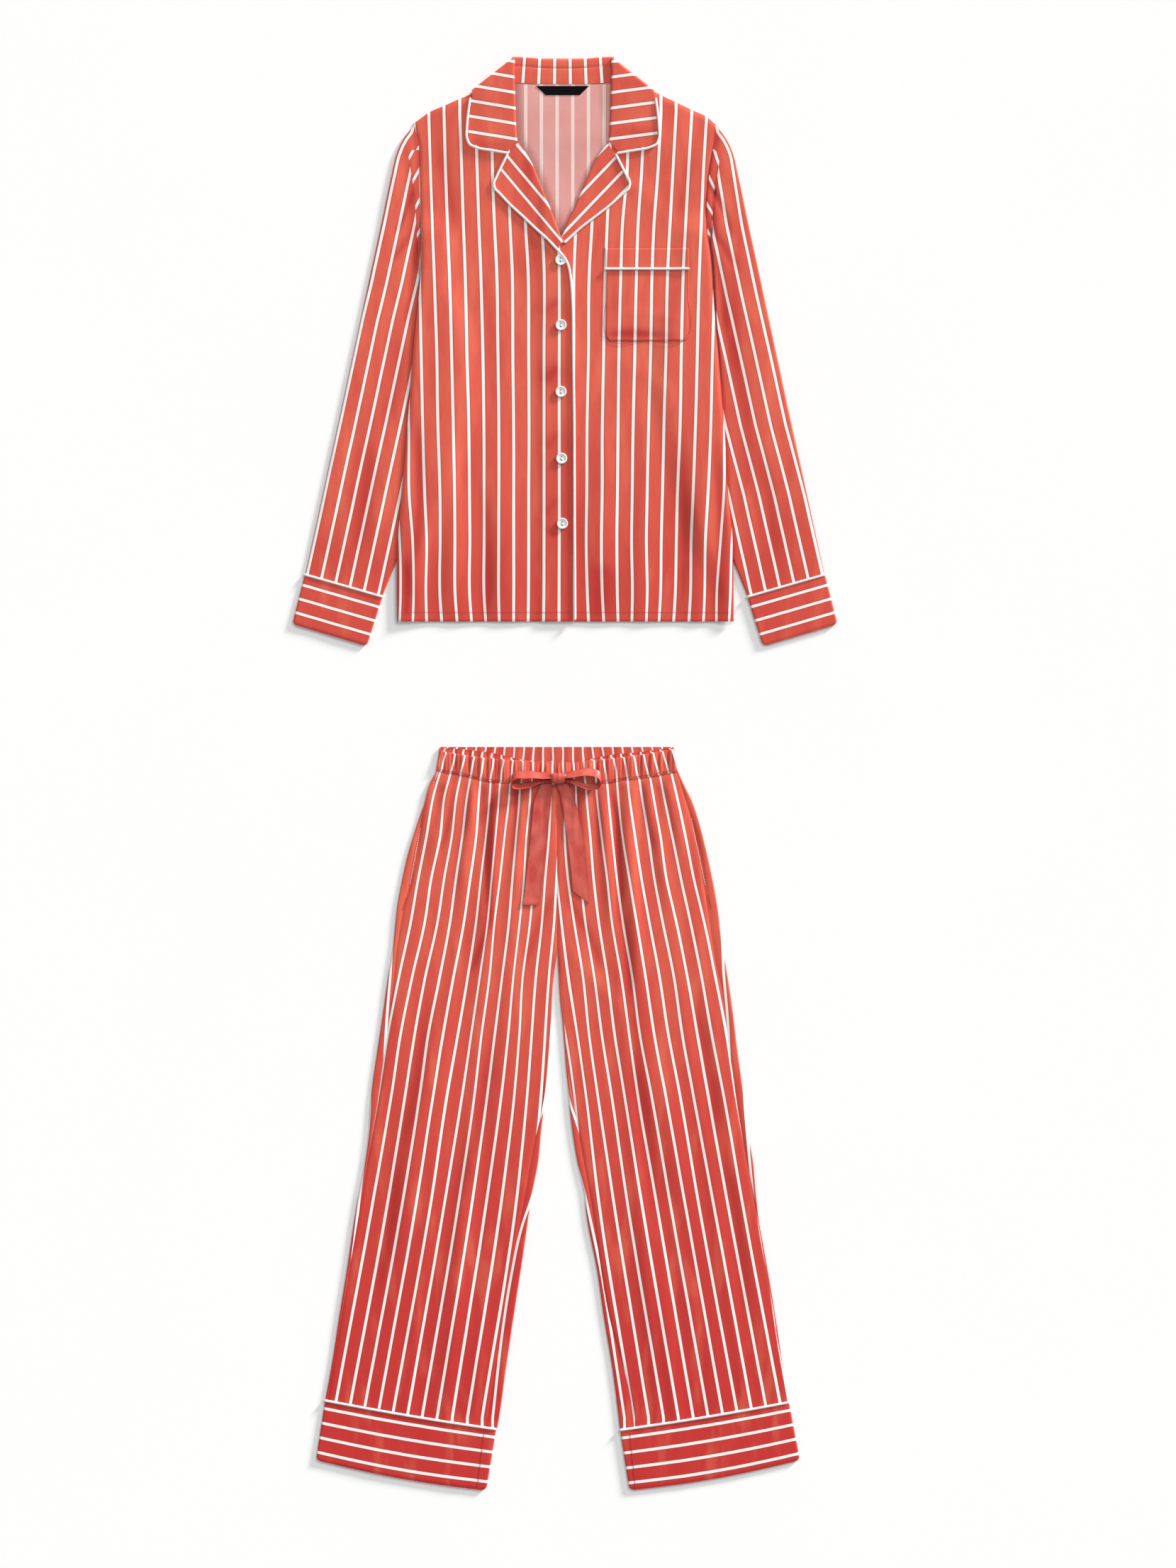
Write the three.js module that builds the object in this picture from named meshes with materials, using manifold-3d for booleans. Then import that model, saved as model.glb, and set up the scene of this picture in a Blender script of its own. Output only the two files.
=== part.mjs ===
// A striped pyjama set laid flat on its back: a long-sleeved shirt above, long trousers below.
// Millimetres. X runs to the right of the laid set, Y up to the collar, Z up from the surface.
// The origin is under the middle of the set. Right and left are the wearer's.
import * as THREE from "three";
import { mergeVertices } from "three/addons/utils/BufferGeometryUtils.js";
import Module from "manifold-3d";

const wasm = await Module();
wasm.setup();

// Cloth and seams
const WALL = 1.0;
const SEAM = 0.3;
const LAYER = WALL + SEAM;
const TUBE_HEIGHT = 2.5;
const BAND_HEIGHT = 3.1;
const BAND_WALL = 1.2;
const PIPING = 1.2;

// Shirt body
const HEM_Y = 197;
const BACK_NECK_Y = 893.9;
const PLACKET_X = -5;
const PLACKET_REACH = 18;
const PLACKET_RAMP = 16;

// Half width of the shirt body from its armhole seam down to the hem
const BODY_EDGE = [
  { y: 841, x: 195 },
  { y: 682, x: 187 },
  { y: 598, x: 193 },
  { y: 541, x: 198 },
  { y: 391, x: 210 },
  { y: 326, x: 215 },
  { y: 279, x: 218 },
  { y: 197, x: 218 },
];

// Shoulder seam, from the neck point out to the sleeve
const SHOULDER = [
  { x: 72, y: 908 },
  { x: 121, y: 881 },
  { x: 145, y: 871 },
  { x: 157, y: 866 },
  { x: 177, y: 857 },
  { x: 195, y: 841 },
];

// Inner edges of the two fronts: neck point, roll line of the lapel, front edge
const FRONT_EDGE = [
  { y: 912, right: -72, left: 67 },
  { y: 864, right: -68, left: 63 },
  { y: 818, right: -61.6, left: 55.4 },
  { y: 793, right: -44.6, left: 38 },
  { y: 744, right: -25.8, left: 17 },
  { y: 700, right: -7.4, left: -3 },
  { y: 675, right: 1.8, left: -14 },
  { y: 625, right: 8.6, left: -23 },
  { y: 452, right: 10.8, left: -23 },
  { y: 197, right: 12, left: -23 },
];

// Columns of a body panel near its side edge, as distances in from that edge
const SIDE_COLUMNS = [0, 14, 30, 48, 66, 84, 104];
const MIDDLE_COLUMNS = 4;
const BODY_ROWS = 18;

// Where the body lies on the sleeves: full height for this far past the sleeve, then down over a ramp
const OVERLAP_SHELF = 20;
const OVERLAP_RAMP = 32;
const OVERLAP_START = { low: 698, high: 733 };

// Where the shoulders lie on the back of the collar
const NECK_LIFT = { width: 142, ramp: 40 };
const NECK_BACK = { height: LAYER, from: 790, to: 830 };
const NECK_FRONT = { height: LAYER + 0.4, from: 772, to: 826 };

// Sleeve stations from the armhole to the cuff: points of its outer and inner edges
const SLEEVE = [
  { outerX: 195.6, outerY: 841, innerX: 187.6, innerY: 681.5 },
  { outerX: 209, outerY: 824, innerX: 189.5, innerY: 664 },
  { outerX: 217.5, outerY: 806, innerX: 190, innerY: 645 },
  { outerX: 225, outerY: 775, innerX: 182, innerY: 622 },
  { outerX: 236.5, outerY: 720, innerX: 168, innerY: 590 },
  { outerX: 248, outerY: 667, innerX: 158, innerY: 548 },
  { outerX: 262, outerY: 602, innerX: 157, innerY: 500 },
  { outerX: 276, outerY: 537, innerX: 163, innerY: 455 },
  { outerX: 291, outerY: 467, innerX: 173, innerY: 407 },
  { outerX: 306, outerY: 399, innerX: 188, innerY: 357 },
  { outerX: 320, outerY: 334, innerX: 209, innerY: 299 },
  { outerX: 329, outerY: 293, innerX: 224, innerY: 262 },
  { outerX: 336.4, outerY: 259.5, innerX: 236.6, innerY: 231 },
];
const SLEEVE_COLUMNS = 7;

// Turned cuffs of the sleeves: their four corners, the top edge being the piped seam
const SLEEVE_CUFF = {
  outerTop: { x: 337.4, y: 257.8 },
  innerTop: { x: 236.8, y: 229 },
  outerEnd: { x: 353.8, y: 193.5 },
  innerEnd: { x: 257, y: 165 },
};

// Collar: roll edge and outer edge from the gorge seam up to the fold at the shoulder
const COLLAR_X = -2.6;
const COLLAR_TOP_Y = 928.6;
const COLLAR_FRONT = [
  { rollX: 59.4, rollY: 820.5, edgeX: 71.4, edgeY: 806.5 },
  { rollX: 59.8, rollY: 826, edgeX: 94, edgeY: 810.6 },
  { rollX: 60.4, rollY: 834, edgeX: 112, edgeY: 814.6 },
  { rollX: 61, rollY: 846, edgeX: 121, edgeY: 821 },
  { rollX: 61.6, rollY: 864, edgeX: 122.4, edgeY: 838 },
  { rollX: 62.4, rollY: 890, edgeX: 120, edgeY: 862 },
  { rollX: 63, rollY: 912, edgeX: 118.2, edgeY: 876 },
  { rollX: 62.4, rollY: 927, edgeX: 116.8, edgeY: 884 },
];
const COLLAR_BACK = [
  { rollX: 46, edgeX: 92, edgeY: 876 },
  { rollX: 24, edgeX: 48, edgeY: 870 },
  { rollX: 0, edgeX: 0, edgeY: 868 },
];
const COLLAR_COLUMNS = 4;
const COLLAR_FOLD_STEPS = 4;
const STAND_HALF = 64;
const STAND_BASE_Y = 894.3;

// Lapels: roll edge and outer edge from the gorge seam down to the front edge
const LAPEL = [
  { rollX: 58.6, rollY: 817.6, edgeX: 69.6, edgeY: 801.5 },
  { rollX: 52.5, rollY: 809, edgeX: 75.5, edgeY: 789 },
  { rollX: 47.5, rollY: 799, edgeX: 81, edgeY: 776 },
  { rollX: 41.5, rollY: 787, edgeX: 85, edgeY: 766 },
  { rollX: 35, rollY: 772, edgeX: 82, edgeY: 758.5 },
  { rollX: 28, rollY: 755, edgeX: 64, edgeY: 739.5 },
  { rollX: 18.5, rollY: 730, edgeX: 43, edgeY: 718 },
  { rollX: 8.5, rollY: 705, edgeX: 21, edgeY: 696 },
  { rollX: 4.5, rollY: 694, edgeX: 10, edgeY: 685.5 },
];
const LAPEL_COLUMNS = 3;

// Piping along the collar, as its outline from the notch to the shoulder
const COLLAR_PIPING = [
  { x: 70, y: 804.2 },
  { x: 94, y: 808.2 },
  { x: 112, y: 811.6 },
  { x: 121, y: 816 },
  { x: 124.6, y: 824 },
  { x: 124.6, y: 838 },
  { x: 122.2, y: 862 },
  { x: 120.2, y: 876 },
];

// Piping along the lapels and, on the right front, on down the front edge
const LAPEL_PIPING = [
  { x: 72.6, y: 800.6 },
  { x: 79, y: 788 },
  { x: 85.4, y: 772 },
  { x: 88, y: 763 },
  { x: 84.4, y: 756.4 },
  { x: 66, y: 737 },
  { x: 45, y: 715.6 },
  { x: 23, y: 693.4 },
];
const FRONT_PIPING = [
  { x: 6.4, y: 672.5 },
  { x: 10.4, y: 625 },
  { x: 12.5, y: 452 },
  { x: 13.7, y: 199 },
];

// Buttons down the placket
const BUTTON = { radius: 7.2, height: 2.6, rim: 1.1, dish: 0.7, hole: 1.1, holeApart: 2.1 };
const BUTTONS = [
  { x: -5.5, y: 666 },
  { x: -5.2, y: 581.5 },
  { x: -5.2, y: 495 },
  { x: -4.4, y: 408.5 },
  { x: -3.4, y: 324 },
];

// Chest pocket on the left front
const POCKET = { left: 51.8, right: 161.6, top: 652.6, base: 560.4, corner: 6.5 };
const POCKET_BAND = { left: 51.6, right: 162, top: 682.4, base: 656.2 };
const LABEL = { y: 893, base: 880, halfTop: 34.3, halfBase: 22.2, x: -3 };

// Soft folds of the shirt body, each a ridge from one end to the other
const SHIRT_FOLDS = [
  { x0: -196, y0: 360, x1: -190, y1: 197, width: 12, height: 1.6 },
  { x0: -150, y0: 420, x1: -138, y1: 197, width: 15, height: 1.5 },
  { x0: -88, y0: 470, x1: -80, y1: 197, width: 18, height: 1.3 },
  { x0: 52, y0: 430, x1: 48, y1: 197, width: 17, height: 1.3 },
  { x0: 112, y0: 460, x1: 104, y1: 197, width: 16, height: 1.4 },
  { x0: 178, y0: 400, x1: 170, y1: 197, width: 13, height: 1.6 },
];

// Trousers, measured from their own centre line
const TROUSER_X = -10.6;
const LEG = [
  { y: 3, outer: 156.5, innerRight: 0.2, innerLeft: 0.2 },
  { y: -24, outer: 165.5, innerRight: 0.2, innerLeft: 0.2 },
  { y: -51, outer: 176, innerRight: 0.2, innerLeft: 0.2 },
  { y: -76, outer: 184.5, innerRight: 0.2, innerLeft: 0.2 },
  { y: -107, outer: 193.6, innerRight: 0.2, innerLeft: 0.2 },
  { y: -136, outer: 200.4, innerRight: 0.2, innerLeft: 0.2 },
  { y: -165, outer: 205.6, innerRight: 0.2, innerLeft: 0.2 },
  { y: -231, outer: 215.6, innerRight: 0.2, innerLeft: 0.2 },
  { y: -265, outer: 220.6, innerRight: 4.1, innerLeft: 2.8 },
  { y: -337, outer: 230.8, innerRight: 8.6, innerLeft: 9.8 },
  { y: -418, outer: 241, innerRight: 15.2, innerLeft: 15.2 },
  { y: -500, outer: 250.4, innerRight: 24, innerLeft: 25.4 },
  { y: -570, outer: 261, innerRight: 36, innerLeft: 38.6 },
  { y: -642, outer: 272.6, innerRight: 46.6, innerLeft: 52 },
  { y: -710, outer: 284, innerRight: 57, innerLeft: 62.2 },
  { y: -777, outer: 294.4, innerRight: 67, innerLeft: 73.2 },
  { y: -815, outer: 301, innerRight: 73.4, innerLeft: 78 },
  { y: -852, outer: 307, innerRight: 80, innerLeft: 82.4 },
];
const LEG_END = { outerY: -815.5, innerY: -852 };
const LEG_CUFF = { outerEndX: 312.6, outerEndY: -891, innerEndX: 91.6, innerEndY: -929.5 };
const LEG_COLUMNS = 12;
const LEG_ROWS = 18;
const BACK_COLUMNS = 5;

// Waistband: its top edge sags at the front, and so does the seam under it
const WAIST = { topY: 34, halfTop: 151, halfBase: 156.5, baseY: 2.8, topSag: 18, baseSag: 17.5 };
const WAIST_COLUMNS = 34;
const WAIST_RUCKS = { count: 11, height: 0.5 };

// Soft folds of the trousers under the gathered waist and down the legs
const TROUSER_FOLDS = [
  { x0: -150, y0: -6, x1: -172, y1: -110, width: 8, height: 1.7 },
  { x0: -118, y0: -10, x1: -134, y1: -160, width: 8, height: 2.1 },
  { x0: -86, y0: -14, x1: -104, y1: -230, width: 9, height: 2.4 },
  { x0: -56, y0: -16, x1: -66, y1: -150, width: 8, height: 1.9 },
  { x0: 46, y0: -16, x1: 62, y1: -190, width: 8, height: 2.3 },
  { x0: 76, y0: -14, x1: 96, y1: -260, width: 9, height: 2.4 },
  { x0: 108, y0: -10, x1: 130, y1: -150, width: 8, height: 1.9 },
  { x0: 136, y0: -6, x1: 152, y1: -100, width: 8, height: 1.6 },
  { x0: -170, y0: -330, x1: -214, y1: -620, width: 17, height: 1.7 },
  { x0: -110, y0: -420, x1: -150, y1: -760, width: 17, height: 1.5 },
  { x0: 120, y0: -360, x1: 168, y1: -640, width: 17, height: 1.7 },
  { x0: 92, y0: -520, x1: 134, y1: -790, width: 16, height: 1.5 },
];

// Ribbon drawstring, tied in a bow on the waistband
const BOW_Z = 4.6;
const KNOT = { x: -8.8, y: -6.6, z: 3.9, halfX: 9.3, halfY: 7.2, halfZ: 3.6 };
const LOOP_LEAN = { y: -8.6, z: 9.6 };
const LOOP_PINCH = 0.55;
const LOOP_RIGHT = [
  { x: -19, y: 0.4 },
  { x: -34, y: 2 },
  { x: -52, y: 3.4 },
  { x: -64, y: 2.6 },
  { x: -69, y: -3 },
  { x: -67.6, y: -9.6 },
  { x: -61, y: -13 },
  { x: -49, y: -12 },
  { x: -36, y: -8.6 },
  { x: -26, y: -5.4 },
  { x: -19, y: -4 },
];
const LOOP_LEFT = [
  { x: 1.4, y: 0.8 },
  { x: 16, y: 4.4 },
  { x: 34, y: 6.8 },
  { x: 44, y: 3 },
  { x: 46.6, y: -4 },
  { x: 43.6, y: -11 },
  { x: 34, y: -14 },
  { x: 20, y: -11.4 },
  { x: 9, y: -7 },
  { x: 1.4, y: -4.4 },
];
const TAIL_RIGHT = [
  { y: -15.5, from: -31, to: -16.6 },
  { y: -35, from: -38.5, to: -17 },
  { y: -70, from: -42.6, to: -19.6 },
  { y: -120, from: -48.2, to: -26.4 },
  { y: -171, from: -55, to: -33.4 },
];
const TAIL_LEFT = [
  { y: -15.5, from: -13.4, to: 3.8 },
  { y: -35, from: -5.4, to: 11.8 },
  { y: -70, from: -0.6, to: 19.6 },
  { y: -112, from: 4.8, to: 25.6 },
  { y: -161, from: 10.6, to: 31 },
];
const TAIL_ROWS = 9;
const TAIL_LEFT_CUT = 8;

// Finish of each kind of piece
const CLOTH = { color: 0xd9604f, roughness: 0.72, metalness: 0 };
const CLOTH_INSIDE = { color: 0xe3a49c, roughness: 0.8, metalness: 0 };
const PIPING_FINISH = { color: 0xf6f1ea, roughness: 0.6, metalness: 0 };
const RIBBON = { color: 0xcd5147, roughness: 0.42, metalness: 0 };
const BUTTON_FINISH = { color: 0xf7f4ee, roughness: 0.25, metalness: 0 };
const LABEL_FINISH = { color: 0x141214, roughness: 0.6, metalness: 0 };

const set = new THREE.Group();

// Helpers on numbers and tables

const mix = (a, b, t) => a + (b - a) * t;

const ramp = (value, from, to) => THREE.MathUtils.smoothstep((value - from) / (to - from), 0, 1);

const fractions = (count) => Array.from({ length: count + 1 }, (_, i) => i / count);

// One column of a table as a function of another, straight between its rows
function column(rows, key, name) {
  const sorted = [...rows].sort((a, b) => a[key] - b[key]);
  return (value) => {
    const next = sorted.findIndex((row) => row[key] >= value);
    if (next === 0) return sorted[0][name];
    if (next < 0) return sorted.at(-1)[name];
    const low = sorted[next - 1];
    const high = sorted[next];
    return mix(low[name], high[name], (value - low[key]) / (high[key] - low[key]));
  };
}

// Sum of the soft ridges at a point: each is full along its line and fades to the side and past its ends
function foldHeight(folds, x, y) {
  let sum = 0;
  for (const fold of folds) {
    const dx = fold.x1 - fold.x0;
    const dy = fold.y1 - fold.y0;
    const length = Math.hypot(dx, dy);
    const t = ((x - fold.x0) * dx + (y - fold.y0) * dy) / (length * length);
    const aside = Math.abs((x - fold.x0) * dy - (y - fold.y0) * dx) / length;
    const fade = ramp(t, -0.1, 0.3) * (1 - ramp(t, 0.75, 1.15) * 0.7);
    sum += fold.height * fade * Math.exp(-((aside / fold.width) ** 2));
  }
  return sum;
}

// Helpers that make closed walls

// A closed wall between two grids of points, outer and inner, with the same rows. Around a tube the
// last column joins the first.
function wall(outer, inner, around = false) {
  const rows = outer.length;
  const columns = outer[0].length;
  const spans = around ? columns : columns - 1;
  const at = (side, j, i) => side * rows * columns + j * columns + (i % columns);
  const index = [];
  const quad = (a, b, c, d) => index.push(a, b, c, a, c, d);
  for (let i = 0; i < spans; i += 1) {
    for (let j = 0; j < rows - 1; j += 1) {
      quad(at(0, j, i), at(0, j, i + 1), at(0, j + 1, i + 1), at(0, j + 1, i));
      quad(at(1, j, i), at(1, j + 1, i), at(1, j + 1, i + 1), at(1, j, i + 1));
    }
    quad(at(0, 0, i), at(1, 0, i), at(1, 0, i + 1), at(0, 0, i + 1));
    quad(at(0, rows - 1, i), at(0, rows - 1, i + 1), at(1, rows - 1, i + 1), at(1, rows - 1, i));
  }
  for (let j = 0; j < rows - 1 && !around; j += 1) {
    quad(at(0, j, 0), at(0, j + 1, 0), at(1, j + 1, 0), at(1, j, 0));
    quad(at(0, j, spans), at(1, j, spans), at(1, j + 1, spans), at(0, j + 1, spans));
  }
  const geometry = new THREE.BufferGeometry();
  geometry.setFromPoints([...outer.flat(), ...inner.flat()]);
  geometry.setIndex(index);
  return facingOut(geometry);
}

// Turns the faces of a closed geometry outwards
function facingOut(geometry) {
  const position = geometry.attributes.position;
  const index = geometry.index.array;
  const corner = (k) => new THREE.Vector3().fromBufferAttribute(position, index[k]);
  let volume = 0;
  for (let k = 0; k < index.length; k += 3) {
    volume += corner(k).dot(corner(k + 1).cross(corner(k + 2)));
  }
  if (volume < 0) index.reverse();
  return geometry;
}

// A sheet from a grid of plan points: its underside at a height, its top one wall above
function sheet(grid, underside, thickness = WALL) {
  const lower = grid.map((row) => row.map(({ x, y }) => new THREE.Vector3(x, y, underside(x, y))));
  const upper = lower.map((row) => row.map((p) => new THREE.Vector3(p.x, p.y, p.z + thickness)));
  return wall(upper, lower);
}

// A sheet around a surface of 3-D points, half the wall to each side of it
function shell(grid, thickness = WALL) {
  const last = grid.length - 1;
  const end = grid[0].length - 1;
  const normal = (j, i) => {
    const across = grid[j][Math.min(i + 1, end)].clone().sub(grid[j][Math.max(i - 1, 0)]);
    const down = grid[Math.min(j + 1, last)][i].clone().sub(grid[Math.max(j - 1, 0)][i]);
    return across.cross(down).normalize();
  };
  const side = (sign) =>
    grid.map((row, j) =>
      row.map((p, i) => p.clone().addScaledVector(normal(j, i), (sign * thickness) / 2)),
    );
  return wall(side(1), side(-1));
}

// A flattened tube of cloth lying on the surface. Each station has the plan points of its two edges,
// and lift raises its upper side.
function flatTube(stations, columns, height, thickness, lift = () => 0) {
  const ring = (station, inset) => {
    const { a, b } = station;
    const along = b.clone().sub(a);
    const width = along.length();
    const direction = along.clone().normalize();
    const radius = height / 2;
    const place = (distance, z) =>
      new THREE.Vector3(a.x + direction.x * distance, a.y + direction.y * distance, z);
    const points = [];
    const top = (u) => {
      const distance = mix(radius, width - radius, u);
      const p = place(distance, 0);
      return place(distance, height - inset + lift(p.x, p.y, u));
    };
    fractions(columns).forEach((u) => points.push(top(u)));
    for (const angle of [45, 0, -45]) {
      const turn = THREE.MathUtils.degToRad(angle);
      const reach = radius - inset;
      points.push(place(width - radius + Math.cos(turn) * reach, radius + Math.sin(turn) * reach));
    }
    fractions(columns).forEach((u) => points.push(place(mix(width - radius, radius, u), inset)));
    for (const angle of [225, 180, 135]) {
      const turn = THREE.MathUtils.degToRad(angle);
      const reach = radius - inset;
      points.push(place(radius + Math.cos(turn) * reach, radius + Math.sin(turn) * reach));
    }
    return points;
  };
  return wall(
    stations.map((station) => ring(station, 0)),
    stations.map((station) => ring(station, thickness)),
    true,
  );
}

// A round cord along a curve, with closed ends
function cord(points, radius = PIPING, steps = points.length * 3) {
  const curve = new THREE.CatmullRomCurve3(points);
  const section = new THREE.Shape();
  const sides = 6;
  for (let k = 0; k < sides; k += 1) {
    const angle = (k / sides) * Math.PI * 2;
    const x = Math.cos(angle) * radius;
    const y = Math.sin(angle) * radius;
    if (k === 0) section.moveTo(x, y);
    else section.lineTo(x, y);
  }
  return new THREE.ExtrudeGeometry(section, { extrudePath: curve, steps, curveSegments: 1 });
}

function add(name, geometry, finish) {
  const mesh = new THREE.Mesh(geometry, new THREE.MeshStandardMaterial(finish));
  mesh.name = name;
  set.add(mesh);
  return mesh;
}

// Height of the top of the given meshes near a point, or the floor value where there is none
const DOWN = new THREE.Vector3(0, 0, -1);

function topOf(meshes, x, y, reach = 0, floor = 0) {
  const caster = new THREE.Raycaster();
  let top = floor;
  const offsets = reach > 0 ? [-reach, -reach / 2, 0, reach / 2, reach] : [0];
  for (const dx of offsets) {
    for (const dy of offsets) {
      caster.set(new THREE.Vector3(x + dx, y + dy, 100), DOWN);
      const hit = caster.intersectObjects(meshes)[0];
      if (hit && hit.point.z > top) top = hit.point.z;
    }
  }
  return top;
}

// Solids of closed geometries, ready to be joined and cut
function solidsOf(...geometries) {
  return geometries.map((geometry) => {
    const bare = geometry.clone();
    bare.deleteAttribute("normal");
    bare.deleteAttribute("uv");
    const merged = mergeVertices(bare);
    return new wasm.Manifold(
      new wasm.Mesh({
        numProp: 3,
        vertProperties: new Float32Array(merged.attributes.position.array),
        triVerts: new Uint32Array(merged.index.array),
      }),
    );
  });
}

function fromSolid(solid) {
  const mesh = solid.getMesh();
  const geometry = new THREE.BufferGeometry();
  geometry.setAttribute("position", new THREE.BufferAttribute(mesh.vertProperties, 3));
  geometry.setIndex(new THREE.BufferAttribute(mesh.triVerts, 1));
  return geometry;
}

// Shirt

const bodyEdge = column(BODY_EDGE, "y", "x");
const shoulderY = column(SHOULDER, "x", "y");
const frontEdge = { right: column(FRONT_EDGE, "y", "right"), left: column(FRONT_EDGE, "y", "left") };
const sleeveInner = column(SLEEVE, "innerY", "innerX");

// How far the sleeves under its sides lift the body
function sleeveLift(x, y) {
  const inward = sleeveInner(y) - Math.abs(x);
  const across = 1 - ramp(inward, OVERLAP_SHELF, OVERLAP_SHELF + OVERLAP_RAMP);
  const down = 1 - ramp(y, OVERLAP_START.low, OVERLAP_START.high);
  return (TUBE_HEIGHT + SEAM) * across * down;
}

function neckLift(x, y, { height, from, to }) {
  const aside = 1 - ramp(Math.abs(x), NECK_LIFT.width, NECK_LIFT.width + NECK_LIFT.ramp);
  return height * aside * ramp(y, from, to);
}

const backUnder = (x, y) => sleeveLift(x, y) + neckLift(x, y, NECK_BACK);

const leftUnder = (x, y) =>
  sleeveLift(x, y) + neckLift(x, y, NECK_FRONT) + LAYER + foldHeight(SHIRT_FOLDS, x, y);

const placketStep = (x) =>
  (LAYER + 0.2) * ramp(x, PLACKET_X - PLACKET_REACH - PLACKET_RAMP, PLACKET_X - PLACKET_REACH - 2);

const rightUnder = (x, y) => leftUnder(x, y) + placketStep(x);

// Plan points of a body panel. Each of its columns gives x at a height y, and runs from the shoulder
// or neck down to the hem.
function bodyGrid(columns, top) {
  const heads = columns.map((columnX) => {
    let y = top(columnX(BACK_NECK_Y));
    for (let pass = 0; pass < 3; pass += 1) y = top(columnX(y));
    return y;
  });
  return fractions(BODY_ROWS).map((v) =>
    columns.map((columnX, i) => {
      const y = mix(heads[i], HEM_Y, v);
      return { x: columnX(y), y };
    }),
  );
}

const outerColumns = (side) => SIDE_COLUMNS.map((d) => (y) => side * (bodyEdge(y) - d));

const between = (fromX, toX) =>
  fractions(MIDDLE_COLUMNS)
    .slice(1, -1)
    .map((t) => (y) => mix(fromX(y), toX(y), t));

function addShirtBody() {
  const rightSide = outerColumns(-1);
  const leftSide = outerColumns(1).reverse();
  const shoulder = (x) => shoulderY(Math.abs(x));
  const frontColumns = {
    right: [...rightSide, ...between(rightSide.at(-1), frontEdge.right), frontEdge.right],
    left: [frontEdge.left, ...between(frontEdge.left, leftSide[0]), ...leftSide],
  };
  const backColumns = [...rightSide, ...between(rightSide.at(-1), leftSide[0]), ...leftSide];
  const backTop = (x) => Math.min(shoulder(x), BACK_NECK_Y);
  const back = add("shirt_back", sheet(bodyGrid(backColumns, backTop), backUnder), CLOTH_INSIDE);
  const left = add("shirt_front_left", sheet(bodyGrid(frontColumns.left, shoulder), leftUnder), CLOTH);
  const right = add("shirt_front_right", sheet(bodyGrid(frontColumns.right, shoulder), rightUnder), CLOTH);
  return { back, left, right };
}

const plan = (x, y) => new THREE.Vector2(x, y);

function addSleeve(side, word) {
  const stations = SLEEVE.map((row) => ({
    a: plan(side * row.outerX, row.outerY),
    b: plan(side * row.innerX, row.innerY),
  }));
  add(`sleeve_${word}`, flatTube(stations, SLEEVE_COLUMNS, TUBE_HEIGHT, WALL), CLOTH);
}

// A band of cloth around the end of a sleeve or leg, from its piped seam to its end
function bandStations(from, to, side, steps) {
  return fractions(steps).map((t) => ({
    a: plan(side * mix(from.a.x, to.a.x, t), mix(from.a.y, to.a.y, t)),
    b: plan(side * mix(from.b.x, to.b.x, t), mix(from.b.y, to.b.y, t)),
  }));
}

// A short stretch of the same band, moved along it by distances from the seam
function stretch(from, to, low, high) {
  const length = Math.hypot(to.a.x - from.a.x, to.a.y - from.a.y);
  const at = (distance) => ({
    a: from.a.clone().lerp(to.a, distance / length),
    b: from.b.clone().lerp(to.b, distance / length),
  });
  return { from: at(low), to: at(high) };
}

function addSleeveCuff(side, word) {
  const { outerTop, innerTop, outerEnd, innerEnd } = SLEEVE_CUFF;
  const from = { a: plan(outerTop.x, outerTop.y), b: plan(innerTop.x, innerTop.y) };
  const to = { a: plan(outerEnd.x, outerEnd.y), b: plan(innerEnd.x, innerEnd.y) };
  const cuff = stretch(from, to, PIPING + SEAM, from.a.distanceTo(to.a));
  const cuffStations = bandStations(cuff.from, cuff.to, side, 2);
  add(`sleeve_cuff_${word}`, flatTube(cuffStations, SLEEVE_COLUMNS, BAND_HEIGHT, BAND_WALL), CLOTH);
  const piping = stretch(from, to, -PIPING * 0.8, PIPING);
  const pipingStations = bandStations(piping.from, piping.to, side, 1);
  const pipingTube = flatTube(pipingStations, SLEEVE_COLUMNS, BAND_HEIGHT + 0.5, BAND_WALL);
  add(`sleeve_cuff_${word}_piping`, pipingTube, PIPING_FINISH);
}

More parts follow.
